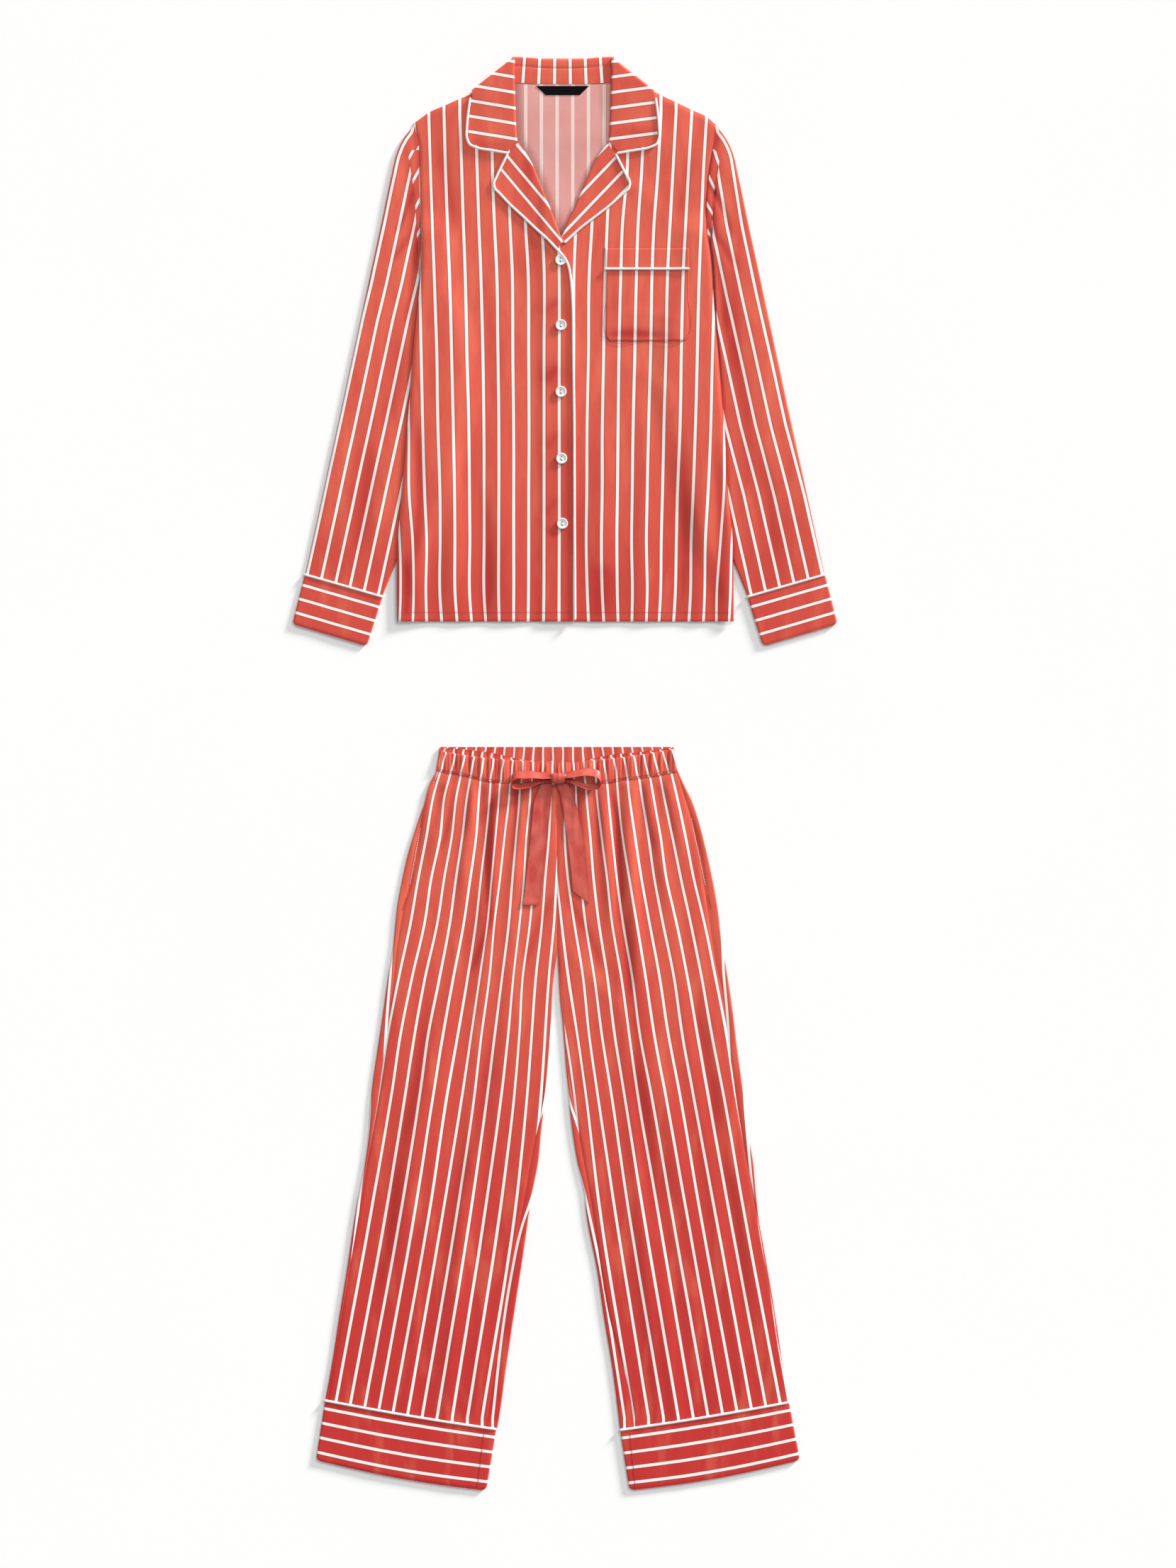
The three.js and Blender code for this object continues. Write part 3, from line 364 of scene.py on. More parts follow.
def finishes(scene):
    """The materials of the set, made once."""
    made = bpy.data.materials
    if "Striped sateen" not in made:
        trims = scene.pyjama_trims
        striped_cloth(scene.pyjama_cloth)
        wrong_side(scene.pyjama_cloth)
        piping, ribbon = colour(trims.piping), colour(trims.ribbon)
        satin("Piping", piping, colour(piping, 0.93), piping, 0.5)
        satin("Satin ribbon", ribbon, colour(ribbon, 0.9), (0.68, 0.125, 0.092), 0.36)
        button_finish(colour(trims.button))
        label_finish(colour(trims.label))
        thread_finish("Red thread", (0.50, 0.06, 0.045))
        thread_finish("White thread", (0.80, 0.77, 0.74))
    return made


# Numbers, curves and charts

def ramp(value, low, high):
    t = np.clip((value - low) / (high - low), 0, 1)
    return t * t * (3 - 2 * t)


def mix(first, second, share):
    return first + (second - first) * share


def from_chart(places):
    """Plan places in millimetres of places on the chart."""
    places = np.asarray(places, float)
    return np.stack([(places[..., 0] - MIDDLE[0]) * UNIT, (MIDDLE[1] - places[..., 1]) * UNIT], -1)


def to_chart(x, y):
    """Places on the chart of plan places in millimetres."""
    return x / UNIT + MIDDLE[0], MIDDLE[1] - y / UNIT


def unit(vectors):
    """Vectors made one long."""
    return vectors / np.linalg.norm(vectors, axis=-1, keepdims=True)


def closed(values, column=0):
    """The values of a grid with one of its columns once more at the end, for what goes around."""
    return np.concatenate([values, values[:, column][:, None]], axis=1)


def smooth(stations, values, at):
    """Values on a smooth curve through the stations, level past its ends."""
    order = np.argsort(stations)
    stations = np.asarray(stations, float)[order]
    values = np.asarray(values, float)[order]
    slopes = np.gradient(values, stations, axis=0)
    at = np.asarray(at, float)
    k = np.clip(np.searchsorted(stations, at) - 1, 0, len(stations) - 2)
    span = stations[k + 1] - stations[k]
    t = np.clip((at - stations[k]) / span, 0, 1)
    if values.ndim > 1:
        t, span = t[..., None], span[..., None]
    rise = t * t * (3 - 2 * t)
    bend = t * (1 - t) ** 2 * slopes[k] - t * t * (1 - t) * slopes[k + 1]
    return values[k] + (values[k + 1] - values[k]) * rise + bend * span


def curve(points, count):
    """Points spaced evenly along a smooth curve through some given ones."""
    points = np.asarray(points, float)
    steps = np.linalg.norm(np.diff(points, axis=0), axis=1)
    stations = np.concatenate([[0], np.cumsum(steps)])
    return smooth(stations, points, np.linspace(0, stations[-1], count))


def ridges(table, x, y):
    """Height of soft ridges at some places, each ridge a line with a width, height and fading ends."""
    total = np.zeros(np.broadcast(x, y).shape)
    for x0, y0, x1, y1, width, height in table:
        dx, dy = x1 - x0, y1 - y0
        length = math.hypot(dx, dy)
        t = ((x - x0) * dx + (y - y0) * dy) / length**2
        aside = np.abs((x - x0) * dy - (y - y0) * dx) / length
        fade = ramp(t, -0.1, 0.3) * (1 - ramp(t, 0.75, 1.15) * 0.7)
        total += height * fade * np.exp(-((aside / width) ** 2))
    return total


def creases(table, x, y):
    """Finer creases: slightly bowed lines of the chart with a width, a height, which is below 0 for a
    trough, and ends that fade out."""
    total = np.zeros(np.broadcast(x, y).shape)
    for x0, y0, x1, y1, width, height in table:
        (ax, ay), (bx, by) = from_chart([(x0, y0), (x1, y1)])
        dx, dy = bx - ax, by - ay
        length = math.hypot(dx, dy)
        t = ((x - ax) * dx + (y - ay) * dy) / length**2
        turn = -1 if (x0 + y0) % 2 < 1 else 1
        bow = turn * 0.024 * length * np.sin(np.clip(t, 0, 1) * math.pi)
        aside = ((x - ax) * dy - (y - ay) * dx) / length - bow
        fade = ramp(t, -0.15, 0.2) * (1 - ramp(t, 0.8, 1.15))
        total += height * fade * np.exp(-((aside / width) ** 2))
    return total


def shade_patches(table, x, y):
    """Painted shade: how much darker the cloth is made in soft ovals of the chart, each with a place, two
    radii and a share.
    """
    px, py = to_chart(x, y)
    total = np.zeros(np.broadcast(x, y).shape)
    for cx, cy, rx, ry, share in table:
        total += share * np.exp(-(((px - cx) / rx) ** 2) - ((py - cy) / ry) ** 2)
    return total


def ripple(x, y, size, seed):
    """A slow uneven wave over the cloth, longer along the stripes than across them."""
    phases = np.random.default_rng(seed).uniform(0, 2 * math.pi, (6, 2))
    total = 0
    for k, (a, b) in enumerate(phases):
        turn = 0.5 + 0.35 * k
        total = total + np.sin(x / size * turn + a + np.sin(y / (2.2 * size) * turn + b))
    return total / len(phases)


class StripeChart:
    """Where the stripes of a panel run: the places where they cross a few level lines of the chart."""

    def __init__(self, first, rows):
        self.first = first
        self.levels = list(rows)
        self.crossings = list(rows.values())

    def number(self, x, y):
        px, py = np.broadcast_arrays(*to_chart(x, y))
        crossings = smooth(self.levels, self.crossings, py)
        k = np.clip((crossings < px[..., None]).sum(-1), 1, crossings.shape[-1] - 1)[..., None]
        low = np.take_along_axis(crossings, k - 1, -1)[..., 0]
        high = np.take_along_axis(crossings, k, -1)[..., 0]
        return self.first + k[..., 0] - 1 + (px - low) / (high - low)


# Meshes: each part is a closed shell of four-sided faces with its maps

def quads(grid):
    return np.stack([grid[:-1, :-1], grid[:-1, 1:], grid[1:, 1:], grid[1:, :-1]], -1).reshape(-1, 4)


def rim(line, under):
    return np.stack([line[:-1], line[:-1] + under, line[1:] + under, line[1:]], -1)


def facing_out(points, faces, corners):
    a, b, c, d = (points[faces[:, k]] for k in range(4))
    volume = (a * np.cross(b, c)).sum() + (a * np.cross(c, d)).sum()
    return (faces, corners) if volume > 0 else (faces[:, ::-1], corners[:, ::-1])


def shell(top, under, number, turned=None, around=False, sides=(0, 1), shade=0, gap=0):
    """A thin closed shell between two grids of points. number holds the stripe number of each point,
    with one more column where the shell goes around, and turned the same for a crumpled patch.
    shade is how much painted shade each point gets, from 0 to 1, mostly in folds, and gap adds a darker
    painted shadow between layers."""
    rows, columns = top.shape[:2]
    count = rows * columns
    ids = np.arange(count).reshape(rows, columns)
    maps = np.arange(number.size).reshape(number.shape)
    if around:
        ids = closed(ids)
    upper, upper_maps = quads(ids), quads(maps)
    edges = [(ids[0], maps[0]), (ids[-1, ::-1], maps[-1, ::-1])]
    if not around:
        edges += [(ids[::-1, 0], maps[::-1, 0]), (ids[:, -1], maps[:, -1])]
    rims = np.concatenate([rim(line, count) for line, _ in edges])
    rim_maps = np.concatenate([rim(line, 0) for _, line in edges])
    faces = np.concatenate([upper, upper[:, ::-1] + count, rims])
    corners = np.concatenate([upper_maps, upper_maps[:, ::-1], rim_maps])
    points = np.concatenate([top.reshape(-1, 3), under.reshape(-1, 3)])
    slots = np.repeat([sides[0], sides[1], sides[0]], [len(upper), len(upper), len(rims)])
    faces, corners = facing_out(points, faces, corners)
    flat = np.zeros((number.size, 2))
    flat[:, 0] = number.ravel()
    flat[:, 1] = np.broadcast_to(np.clip(shade, 0, 1) + gap, number.shape).ravel()
    crumpled = np.zeros_like(flat) if turned is None else turned.reshape(-1, 2)
    return {
        "points": points,
        "faces": faces,
        "stripes": flat[corners],
        "turned": crumpled[corners],
        "slots": slots,
    }


def plain_part(points, faces):
    """A part in one finish, which uses no maps."""
    nothing = np.zeros((len(faces), 4, 2))
    slots = np.zeros(len(faces), int)
    return {"points": points, "faces": faces, "stripes": nothing, "turned": nothing, "slots": slots}


def cord(path, radius, squash=1.0):
    """A round cord with eight sides along a path, closed at both ends, which are a little thinner."""
    path = np.asarray(path, float)
    along = unit(np.gradient(path, axis=0))
    aside = unit(np.cross(along, (0, 0, 1.0)))
    up = np.cross(aside, along)
    angles = np.arange(8)[:, None] * math.pi / 4
    reach = np.full(len(path), radius)
    reach[[0, -1]] *= 0.6
    ring = np.cos(angles) * aside[:, None] + squash * np.sin(angles) * up[:, None]
    points = (path[:, None] + ring * reach[:, None, None]).reshape(-1, 3)
    ids = np.arange(len(points)).reshape(-1, 8)
    cap = np.array([[0, 1, 2, 3], [0, 3, 4, 7], [4, 5, 6, 7]])
    faces = np.concatenate([quads(closed(ids)), cap, cap[:, ::-1] + ids[-1, 0]])
    return plain_part(points, facing_out(points, faces, faces)[0])


def mesh_object(name, parts, materials, sharp=48):
    """One object of one or more parts."""
    starts = np.cumsum([0] + [len(part["points"]) for part in parts])
    points = np.concatenate([part["points"] for part in parts]) * MM
    faces = np.concatenate([part["faces"] + start for part, start in zip(parts, starts)])
    mesh = bpy.data.meshes.new(name)
    mesh.from_pydata(points.tolist(), [], faces.tolist())
    for key in ("stripes", "turned"):
        layer = mesh.uv_layers.new(name=key)
        corners = np.concatenate([part[key] for part in parts])
        layer.data.foreach_set("uv", corners.astype(np.float32).ravel())
    for material in materials:
        mesh.materials.append(material)
    slots = np.concatenate([part["slots"] for part in parts]).astype(np.int32)
    mesh.polygons.foreach_set("material_index", slots)
    mesh.polygons.foreach_set("use_smooth", np.ones(len(faces), bool))
    mesh.set_sharp_from_angle(angle=math.radians(sharp))
    mesh.update()
    piece = bpy.data.objects.new(name, mesh)
    bpy.context.scene.collection.objects.link(piece)
    return piece


def lay(name, parts, nodes, materials, flat=None):
    """Makes a piece in place of its solids. flat is the width and length that its cloth was cut to."""
    piece = mesh_object(name, parts, materials)
    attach(piece, BODY)
    if nodes:
        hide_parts(*nodes)
    if flat:
        both_sides = sum(face.area for face in piece.data.polygons)
        cut = min(both_sides / 2, flat[0] * flat[1])
    return piece


def spaced(width, step, near=(0, 0.5, 1.2, 2.2, 3.6)):
    """Shares across a strip of cloth, close together at its edges and even between them."""
    edge = np.array(near) / width
    count = max(2, round((width - 2 * near[-1]) / step))
    middle = np.linspace(edge[-1], 1 - edge[-1], count + 1)
    return np.concatenate([edge[:-1], middle, 1 - edge[:-1][::-1]])


def points3(x, y, z):
    return np.stack(np.broadcast_arrays(x, y, z), -1).astype(float)


def edge_line(places):
    """x of a line of the chart as a function of y, in millimetres."""
    places = from_chart(places)
    return lambda y: smooth(places[:, 1], places[:, 0], y)


def level_line(places):
    """y of a line of the chart as a function of x, in millimetres."""
    places = from_chart(places)
    return lambda x: smooth(places[:, 0], places[:, 1], x)


def normals(top):
    """Unit vectors square to a grid of points."""
    across = np.cross(np.gradient(top, axis=1), np.gradient(top, axis=0))
    return across / (np.linalg.norm(across, axis=2, keepdims=True) + 1e-9)


# Where the faces of a rounded edge turn, between its side and the level
ROLL_ANGLES = np.radians([25, 50, 75])


def flat_tube(a, b, height, thickness, step, lift=None, roll=2.2, press=None, swell=None):
    """A flattened tube on the surface. a and b are the plan points of its two edges, row by row. It
    starts at edge b, goes over the top to a and back underneath. lift(x, y) raises its top, press
    holds each row's share of the height, and swell how far each row stands out all round."""
    a, b = np.asarray(a, float), np.asarray(b, float)
    width = np.linalg.norm(b - a, axis=1)[:, None]
    direction = (b - a) / width
    count = max(4, round(width.mean() / step))
    shares = np.linspace(0, 1, count + 1)
    right = math.pi / 2
    turns = np.concatenate([
        [0], ROLL_ANGLES, np.full(count + 1, right), ROLL_ANGLES[::-1], [0],
        -ROLL_ANGLES, np.full(count + 1, -right), -ROLL_ANGLES[::-1]])
    at_b = 1 + len(ROLL_ANGLES)
    share = np.concatenate([
        np.ones(at_b), shares[::-1], np.zeros(2 * at_b - 1), shares, np.ones(len(ROLL_ANGLES))])
    level_faces = np.abs(turns) == right
    towards_b = np.where(share > 0.5, 1, -1)
    offset = np.where(level_faces, roll * (1 - 2 * share), -towards_b * roll * (1 - np.cos(turns)))
    distance = offset + share * width
    outwards = np.where(level_faces, 0, np.cos(turns)) * towards_b
    level = (1 + np.sin(turns)) * height / 2 * np.ones_like(distance)
    if press is not None:
        level = level * np.asarray(press)[:, None]
    swollen = np.zeros((len(a), 1)) if swell is None else np.asarray(swell, float)[:, None]
    up = np.clip(np.sin(turns), 0, 1)

    def side(inset):
        reach = distance + outwards * (swollen - inset)
        plan = a[:, None] + direction[:, None] * reach[..., None]
        z = level + swollen * up - inset * np.sin(turns)
        if lift is not None:
            z = z + lift(plan[..., 0], plan[..., 1]) * up
        return np.concatenate([plan, z[..., None]], -1)

    return side(0), side(thickness), distance, turns


# Tables of the shirt, as the solids have them

HEM_Y = 197
SHIRT_MIDDLE_Y = 500.0
SHIRT_HEIGHT = 600
BACK_NECK_Y = 893.9
PLACKET_X = -5
PLACKET_REACH = 18
PLACKET_RAMP = 16
OVERLAP_SHELF = 20
OVERLAP_RAMP = 32
OVERLAP_START = (698, 733)
NECK_WIDTH, NECK_FADE = 142, 40
NECK_BACK = (LAYER, 790, 830)
NECK_FRONT = (LAYER + 0.4, 772, 826)

SHIRT_SIDE = {
    "right": edge_line([
        (582.5, 172), (583.5, 177), (590, 203), (591, 254), (594, 330), (594.5, 350), (582.6, 500),
        (569.6, 666), (563.3, 737), (560.3, 788), (560.4, 878)]),
    "left": edge_line([
        (1015.5, 180), (1015, 185), (1004, 226), (1000, 250), (997, 286), (998, 332), (1001, 350),
        (1008, 441), (1014, 507), (1018, 555), (1022, 606), (1027, 694), (1032.6, 748), (1034, 788),
        (1034.7, 878)]),
}
SHOULDER = level_line([
    (580, 176), (586, 172.6), (605, 159), (626, 150), (639.5, 144), (665, 133), (719, 104),
    (875, 104), (928.5, 133), (960, 148), (975, 155), (999, 167), (1014, 181), (1018, 186)])
FRONT_EDGE = [
    (912, -72, 67), (864, -68, 63), (818, -61.6, 55.4), (793, -44.6, 38), (744, -25.8, 17),
    (700, -7.4, -3), (675, 1.8, -14), (625, 8.6, -23), (452, 10.8, -23), (197, 12, -23)]
SHIRT_FOLDS = [
    (-196, 360, -190, 197, 12, 1.6), (-150, 420, -138, 197, 15, 1.5), (-88, 470, -80, 197, 18, 1.3),
    (52, 430, 48, 197, 17, 1.3), (112, 460, 104, 197, 16, 1.4), (178, 400, 170, 197, 13, 1.6)]

# Finer creases of the shirt, read off the picture as lines of the chart
SHIRT_CREASES = [
    (588, 600, 586, 790, 7, -0.9), (572, 790, 571, 872, 5, -0.8), (682, 700, 684, 877, 8, -0.7),
    (850, 800, 846, 874, 16, -0.6), (640, 640, 632, 860, 9, 0.7), (735, 760, 732, 877, 9, 0.6),
    (905, 700, 900, 877, 10, 0.6), (960, 620, 958, 860, 9, -0.6), (1010, 640, 1012, 860, 7, -0.8),
    (786, 425, 762, 446, 6, -0.4), (786, 518, 764, 540, 7, -0.45), (786, 612, 768, 634, 6, -0.4),
    (786, 705, 766, 728, 6, -0.4), (786, 760, 768, 745, 5, -0.3), (700, 300, 640, 420, 15, 0.5),
    (880, 250, 960, 330, 14, 0.5), (620, 220, 640, 330, 9, -0.5), (975, 220, 955, 330, 9, -0.5),
    (668, 430, 660, 620, 14, 0.5), (860, 500, 950, 560, 12, 0.4), (845, 560, 840, 700, 10, -0.4)]

# Painted shade on the shirt fronts: soft darker ovals of the chart, each with a place, two radii and a share
SHIRT_SHADE = [
    (785, 440, 20, 26, 0.45), (778, 532, 24, 24, 0.6), (795, 640, 36, 40, 0.45), (806, 735, 36, 60, 0.5),
    (600, 835, 60, 60, 0.4), (700, 820, 26, 80, 0.45), (850, 825, 36, 60, 0.45), (965, 700, 40, 110, 0.3),
    (620, 560, 30, 110, 0.25), (682, 460, 18, 70, 0.3), (930, 290, 30, 40, 0.25), (640, 260, 16, 60, 0.25),
    (895, 268, 9, 12, 0.6), (745, 372, 20, 26, 0.35)]

RIGHT_FRONT_STRIPES = StripeChart(-11, {
    160: (539, 561, 583, 605, 626.4, 648.8, 671, 693.5, 717, 740, 764, 787),
    240: (548, 570, 590, 607.2, 628.6, 651.4, 673.2, 694.8, 717.5, 740.5, 764, 787),
    311: (548, 570, 591.5, 609.6, 631, 653.6, 675.5, 697.3, 719.4, 741, 764.5, 787.5),
    380: (550, 571, 591.9, 612.3, 633.9, 656.2, 678.1, 700.7, 722.5, 745, 767.6, 788.8),
    500: (553, 574, 594.3, 616.4, 637.2, 658.8, 681.4, 702.5, 723.5, 745.9, 767.5, 789),
    600: (557, 576.9, 596.4, 617.9, 639.5, 661.4, 682.7, 703.8, 724.6, 746.4, 767.5, 789),
    700: (559, 577.4, 599.5, 621, 641.4, 662.4, 683, 703.8, 724.8, 745.9, 767.5, 789),
    760: (563.9, 582, 602.1, 621, 641.9, 663, 683, 703.5, 724.8, 745.9, 767.5, 789),
    840: (565.2, 583.6, 600.8, 620.6, 642.4, 662.7, 683, 703.5, 724.8, 745.6, 767.2, 788.8),
    877: (563.9, 582.6, 601.8, 623.2, 645, 665.3, 685.3, 704.3, 724.6, 745.1, 766.7, 788.8),
})
LEFT_FRONT_STRIPES = StripeChart(0, {
    160: (812, 837, 861, 886, 909, 932.6, 953.6, 976, 997, 1018, 1039, 1060),
    240: (812, 836, 860, 885, 905, 928.4, 949.4, 971.4, 992.4, 1014, 1035, 1056),
    320: (812, 835, 856.4, 878, 900, 922.4, 945, 967, 989, 1011, 1033, 1055),
    380: (810, 831.4, 854, 876, 898, 920, 942, 964, 986.6, 1009, 1031, 1053),
    500: (809.5, 830.2, 851.5, 873.1, 895.5, 917.8, 939.4, 961, 983.6, 1004.9, 1027, 1048),
    600: (809, 828.1, 849.7, 872, 893.1, 915, 936.6, 959.4, 981, 1002.8, 1022.1, 1043),
    700: (809, 827.6, 849.4, 871, 891.8, 912.9, 934.5, 955.5, 977.6, 998.4, 1021, 1038),
    760: (808, 826.8, 848.4, 870.2, 891, 911.8, 932.9, 954.2, 975, 995, 1016.9, 1032.5),
    840: (808, 828.6, 849.7, 871, 892.1, 913.1, 931.6, 952.4, 974, 994, 1010.9, 1030.1),
    877: (808, 830.2, 851.8, 872, 891.3, 911.8, 929.5, 950.3, 971.9, 992.4, 1010.6, 1028.3),
})

# Sleeve stations from the armhole to the cuff: outer x and y, inner x and y
SLEEVE = np.array([
    (195.6, 841, 187.6, 681.5), (209, 824, 189.5, 664), (217.5, 806, 190, 645), (225, 775, 182, 622),
    (236.5, 720, 168, 590), (248, 667, 158, 548), (262, 602, 157, 500), (276, 537, 163, 455),
    (291, 467, 173, 407), (306, 399, 188, 357), (320, 334, 209, 299), (329, 293, 224, 262),
    (336.4, 259.5, 236.6, 231)])
SLEEVE_CUFF = ((337.4, 257.8), (236.8, 229), (353.8, 193.5), (257, 165))


def sleeve_inner(y):
    order = np.argsort(SLEEVE[:, 3])
    return np.interp(y, SLEEVE[order, 3], SLEEVE[order, 2])


def sleeve_lift(x, y):
    """How far the sleeves under its sides lift the body."""
    inward = sleeve_inner(y) - np.abs(x)
    across = 1 - ramp(inward, OVERLAP_SHELF, OVERLAP_SHELF + OVERLAP_RAMP)
    return (TUBE + SEAM) * across * (1 - ramp(y, *OVERLAP_START))


def neck_lift(x, y, layers):
    height, low, high = layers
    return height * (1 - ramp(np.abs(x), NECK_WIDTH, NECK_WIDTH + NECK_FADE)) * ramp(y, low, high)


def back_under(x, y):
    return sleeve_lift(x, y) + neck_lift(x, y, NECK_BACK)


def left_top(x, y):
    """Top of the left front, with its folds and creases."""
    folds = ridges(SHIRT_FOLDS, x, y) + creases(SHIRT_CREASES, x, y) + 0.22 * ripple(x, y, 17, 3)
    return sleeve_lift(x, y) + neck_lift(x, y, NECK_FRONT) + LAYER + WALL + folds


def right_top(x, y):
    """Top of the right front, which steps up where it laps over the left one."""
    start = PLACKET_X - PLACKET_REACH
    return left_top(x, y) + (LAYER + 0.2) * ramp(x, start - PLACKET_RAMP, start - 2)


def front_top(x, y):
    """Top of whichever front shows."""
    return np.where(x < front_edge(y, "right") + 1, right_top(x, y), left_top(x, y))


def front_edge(y, word):
    rows = np.array(FRONT_EDGE[::-1])
    return np.interp(y, rows[:, 0], rows[:, 1 if word == "right" else 2])


def panel_plan(left, right, head, foot, step):
    """Plan points of a panel between two side lines, from its head down to its foot. Where each column
    meets the head is found in a few rounds."""
    width = float(right(SHIRT_MIDDLE_Y) - left(SHIRT_MIDDLE_Y))
    across = spaced(abs(width), step)
    heads = np.full(across.shape, float(foot) + SHIRT_HEIGHT)
    for _ in range(5):
        heads = head(mix(left(heads), right(heads), across))
    down = spaced(float(heads.max() - foot), step)[:, None]
    y = mix(heads, foot, down)
    return mix(left(y), right(y), across), y


def thin(x, y, top, thickness):
    return points3(x, y, top), points3(x, y, top - thickness)


# Shirt pieces

def cloth_pair(scene):
    made = finishes(scene)
    return [made["Striped sateen"], made["Wrong side of the sateen"]]


def steps(scene):
    sizes = scene.pyjama_cloth
    return sizes.grid / MM, sizes.thickness / MM


def make_shirt_front(scene, word):
    step, thickness = steps(scene)
    side_line = SHIRT_SIDE[word]

    def inner(y):
        return front_edge(y, word) + (-1.8 if word == "right" else 1.8) * ramp(y, 682, 696)

    lines = (side_line, inner) if word == "right" else (inner, side_line)
    x, y = panel_plan(*lines, SHOULDER, HEM_Y, step)
    top = right_top(x, y) if word == "right" else left_top(x, y)
    top -= 1.1 * (1 - ramp(np.abs(x - side_line(y)), 0, 4.5))
    top -= 0.9 * (1 - ramp(SHOULDER(x) - y, 0, 5)) + 0.5 * (1 - ramp(y - HEM_Y, 0, 2.5))
    chart = RIGHT_FRONT_STRIPES if word == "right" else LEFT_FRONT_STRIPES
    # Painted shade: darker in the listed ovals, in the troughs of the creases and along the side edge that
    # lies over the sleeve
    at_side = 0.7 * (1 - ramp(np.abs(x - side_line(y)), 0, 1.4))
    part = shell(*thin(x, y, top, thickness), chart.number(x, y),
                 shade=shade_patches(SHIRT_SHADE, x, y) - creases(SHIRT_CREASES, x, y) + at_side)
    name = f"shirt_front_{word}"
    lay(f"{name}_cloth", [part], [name], cloth_pair(scene), flat=(0.27, 0.76))


SHIRT_BACK_PITCH = 22.1


def make_shirt_back(scene):
    step, thickness = steps(scene)

    def head(x):
        return np.minimum(SHOULDER(x), BACK_NECK_Y)

    x, y = panel_plan(SHIRT_SIDE["right"], SHIRT_SIDE["left"], head, HEM_Y, step * 1.8)
    sag = 0.35 * ramp(y, 800, 890) * ripple(x, y, 9, 5)
    top = back_under(x, y) + 0.05 + thickness + np.clip(sag, 0, 1)
    number = x / UNIT / SHIRT_BACK_PITCH + 0.5
    # Painted shadow on the inside of the back: wide and strong beside the roll edges of the collar and right
    # lapel, weak beside the left lapel's, and below the foot of the V
    rolls = (COLLAR_ROLL + [row[:2] for row in LAPEL["right"]], [row[:2] for row in LAPEL["left"]])
    near, far = (distance_to(from_chart(roll), x, y) for roll in rolls)
    shade = 0.95 * (1 - ramp(near, 0, 13)) + 0.25 * (1 - ramp(far, 0, 4)) + 0.5 * (1 - ramp(y, 690, 716))
    part = shell(*thin(x, y, top, thickness), number, sides=(1, 0), shade=shade)
    lay("shirt_back_cloth", [part], ["shirt_back"], cloth_pair(scene), flat=(0.45, 0.72))


def distance_to(line, x, y):
    """Distance of some places from a line of points."""
    nearest = np.full(x.shape, 1e9)
    for (ax, ay), (bx, by) in zip(line[:-1], line[1:]):
        dx, dy = bx - ax, by - ay
        t = np.clip(((x - ax) * dx + (y - ay) * dy) / (dx * dx + dy * dy), 0, 1)
        nearest = np.minimum(nearest, np.hypot(x - ax - t * dx, y - ay - t * dy))
    return nearest


# Each sleeve: how far its outermost stripe lies in from its edge, by chart level, how far the
# armhole seam bows from a straight line, and where the cloth crumples beside that seam, with the
# slant, the start and the distance of the stripes there
SLEEVE_LOOKS = {
    "right": {
        "inset": ((200, 4), (400, 4), (450, 2.6), (800, 2.6)),
        "bow": ((0, 0), (0.15, 4.9), (0.44, 2.7), (1, 0)),
        "fold": ((573, 195), (577, 225), (582, 255), (586, 292), (588, 330), (591, 360)),
        "seam": ((583, 177), (590, 203), (591, 254), (594, 330), (594.5, 350)),
        "slant": 1.75, "start": 200, "apart": 41,
    },
    "left": {
        "inset": ((220, 4.4), (260, 7), (320, 9.6), (420, 10), (500, 9), (600, 8.4), (700, 4), (800, 3)),
        "bow": ((0, 0), (0.28, 2.9), (0.42, 5.4), (0.63, 6.6), (0.89, 3.5), (1, 0)),
        "fold": ((1017, 205), (1013.5, 238), (1009, 266), (1005, 305), (1001.5, 345), (1000.5, 360)),
        "seam": ((1015, 185), (1004, 226), (1000, 250), (997, 286), (998, 332), (1001, 350)),
        "slant": -1.75, "start": 250, "apart": 38,
    },
}
SLEEVE_CREASES = {
    "right": [
        (582, 268, 556, 330, 4, -0.8), (586, 318, 548, 372, 5, -0.7), (584, 350, 572, 460, 6, -0.8),
        (560, 240, 548, 300, 5, 0.5), (540, 420, 508, 560, 10, 0.6), (566, 480, 542, 600, 8, -0.5),
        (480, 620, 452, 760, 9, 0.5), (520, 640, 500, 780, 8, -0.5), (545, 690, 528, 790, 6, 0.5)],
    "left": [
        (1006, 262, 1030, 330, 4, -0.8), (1003, 320, 1040, 380, 5, -0.7), (1010, 360, 1022, 470, 6, -0.8),
        (1032, 240, 1044, 300, 5, 0.5), (1052, 420, 1084, 560, 10, 0.6), (1030, 480, 1052, 600, 8, -0.5),
        (1112, 620, 1140, 760, 9, 0.5), (1072, 640, 1092, 780, 8, -0.5), (1050, 690, 1066, 790, 6, 0.5)],
}
# Painted shade on the sleeves: darker ovals in the folds beside the body and down the arms
SLEEVE_SHADE = [
    (1008, 312, 4, 34, 1.0), (1003, 376, 3.5, 40, 0.9), (1007, 430, 3, 40, 0.6), (1011, 250, 5, 20, 0.4),
    (577, 250, 4, 26, 0.6), (582, 300, 4, 34, 0.7), (587, 352, 3.5, 24, 0.9), (572, 215, 5, 12, 0.3),
    (1034, 470, 13, 90, 0.8), (1056, 640, 22, 90, 0.55), (1100, 770, 30, 70, 0.4), (520, 690, 22, 90, 0.4),
    (548, 480, 14, 80, 0.3), (470, 770, 30, 60, 0.35)]
SLEEVE_PITCH = 19.15
SLEEVE_LENGTH = 600


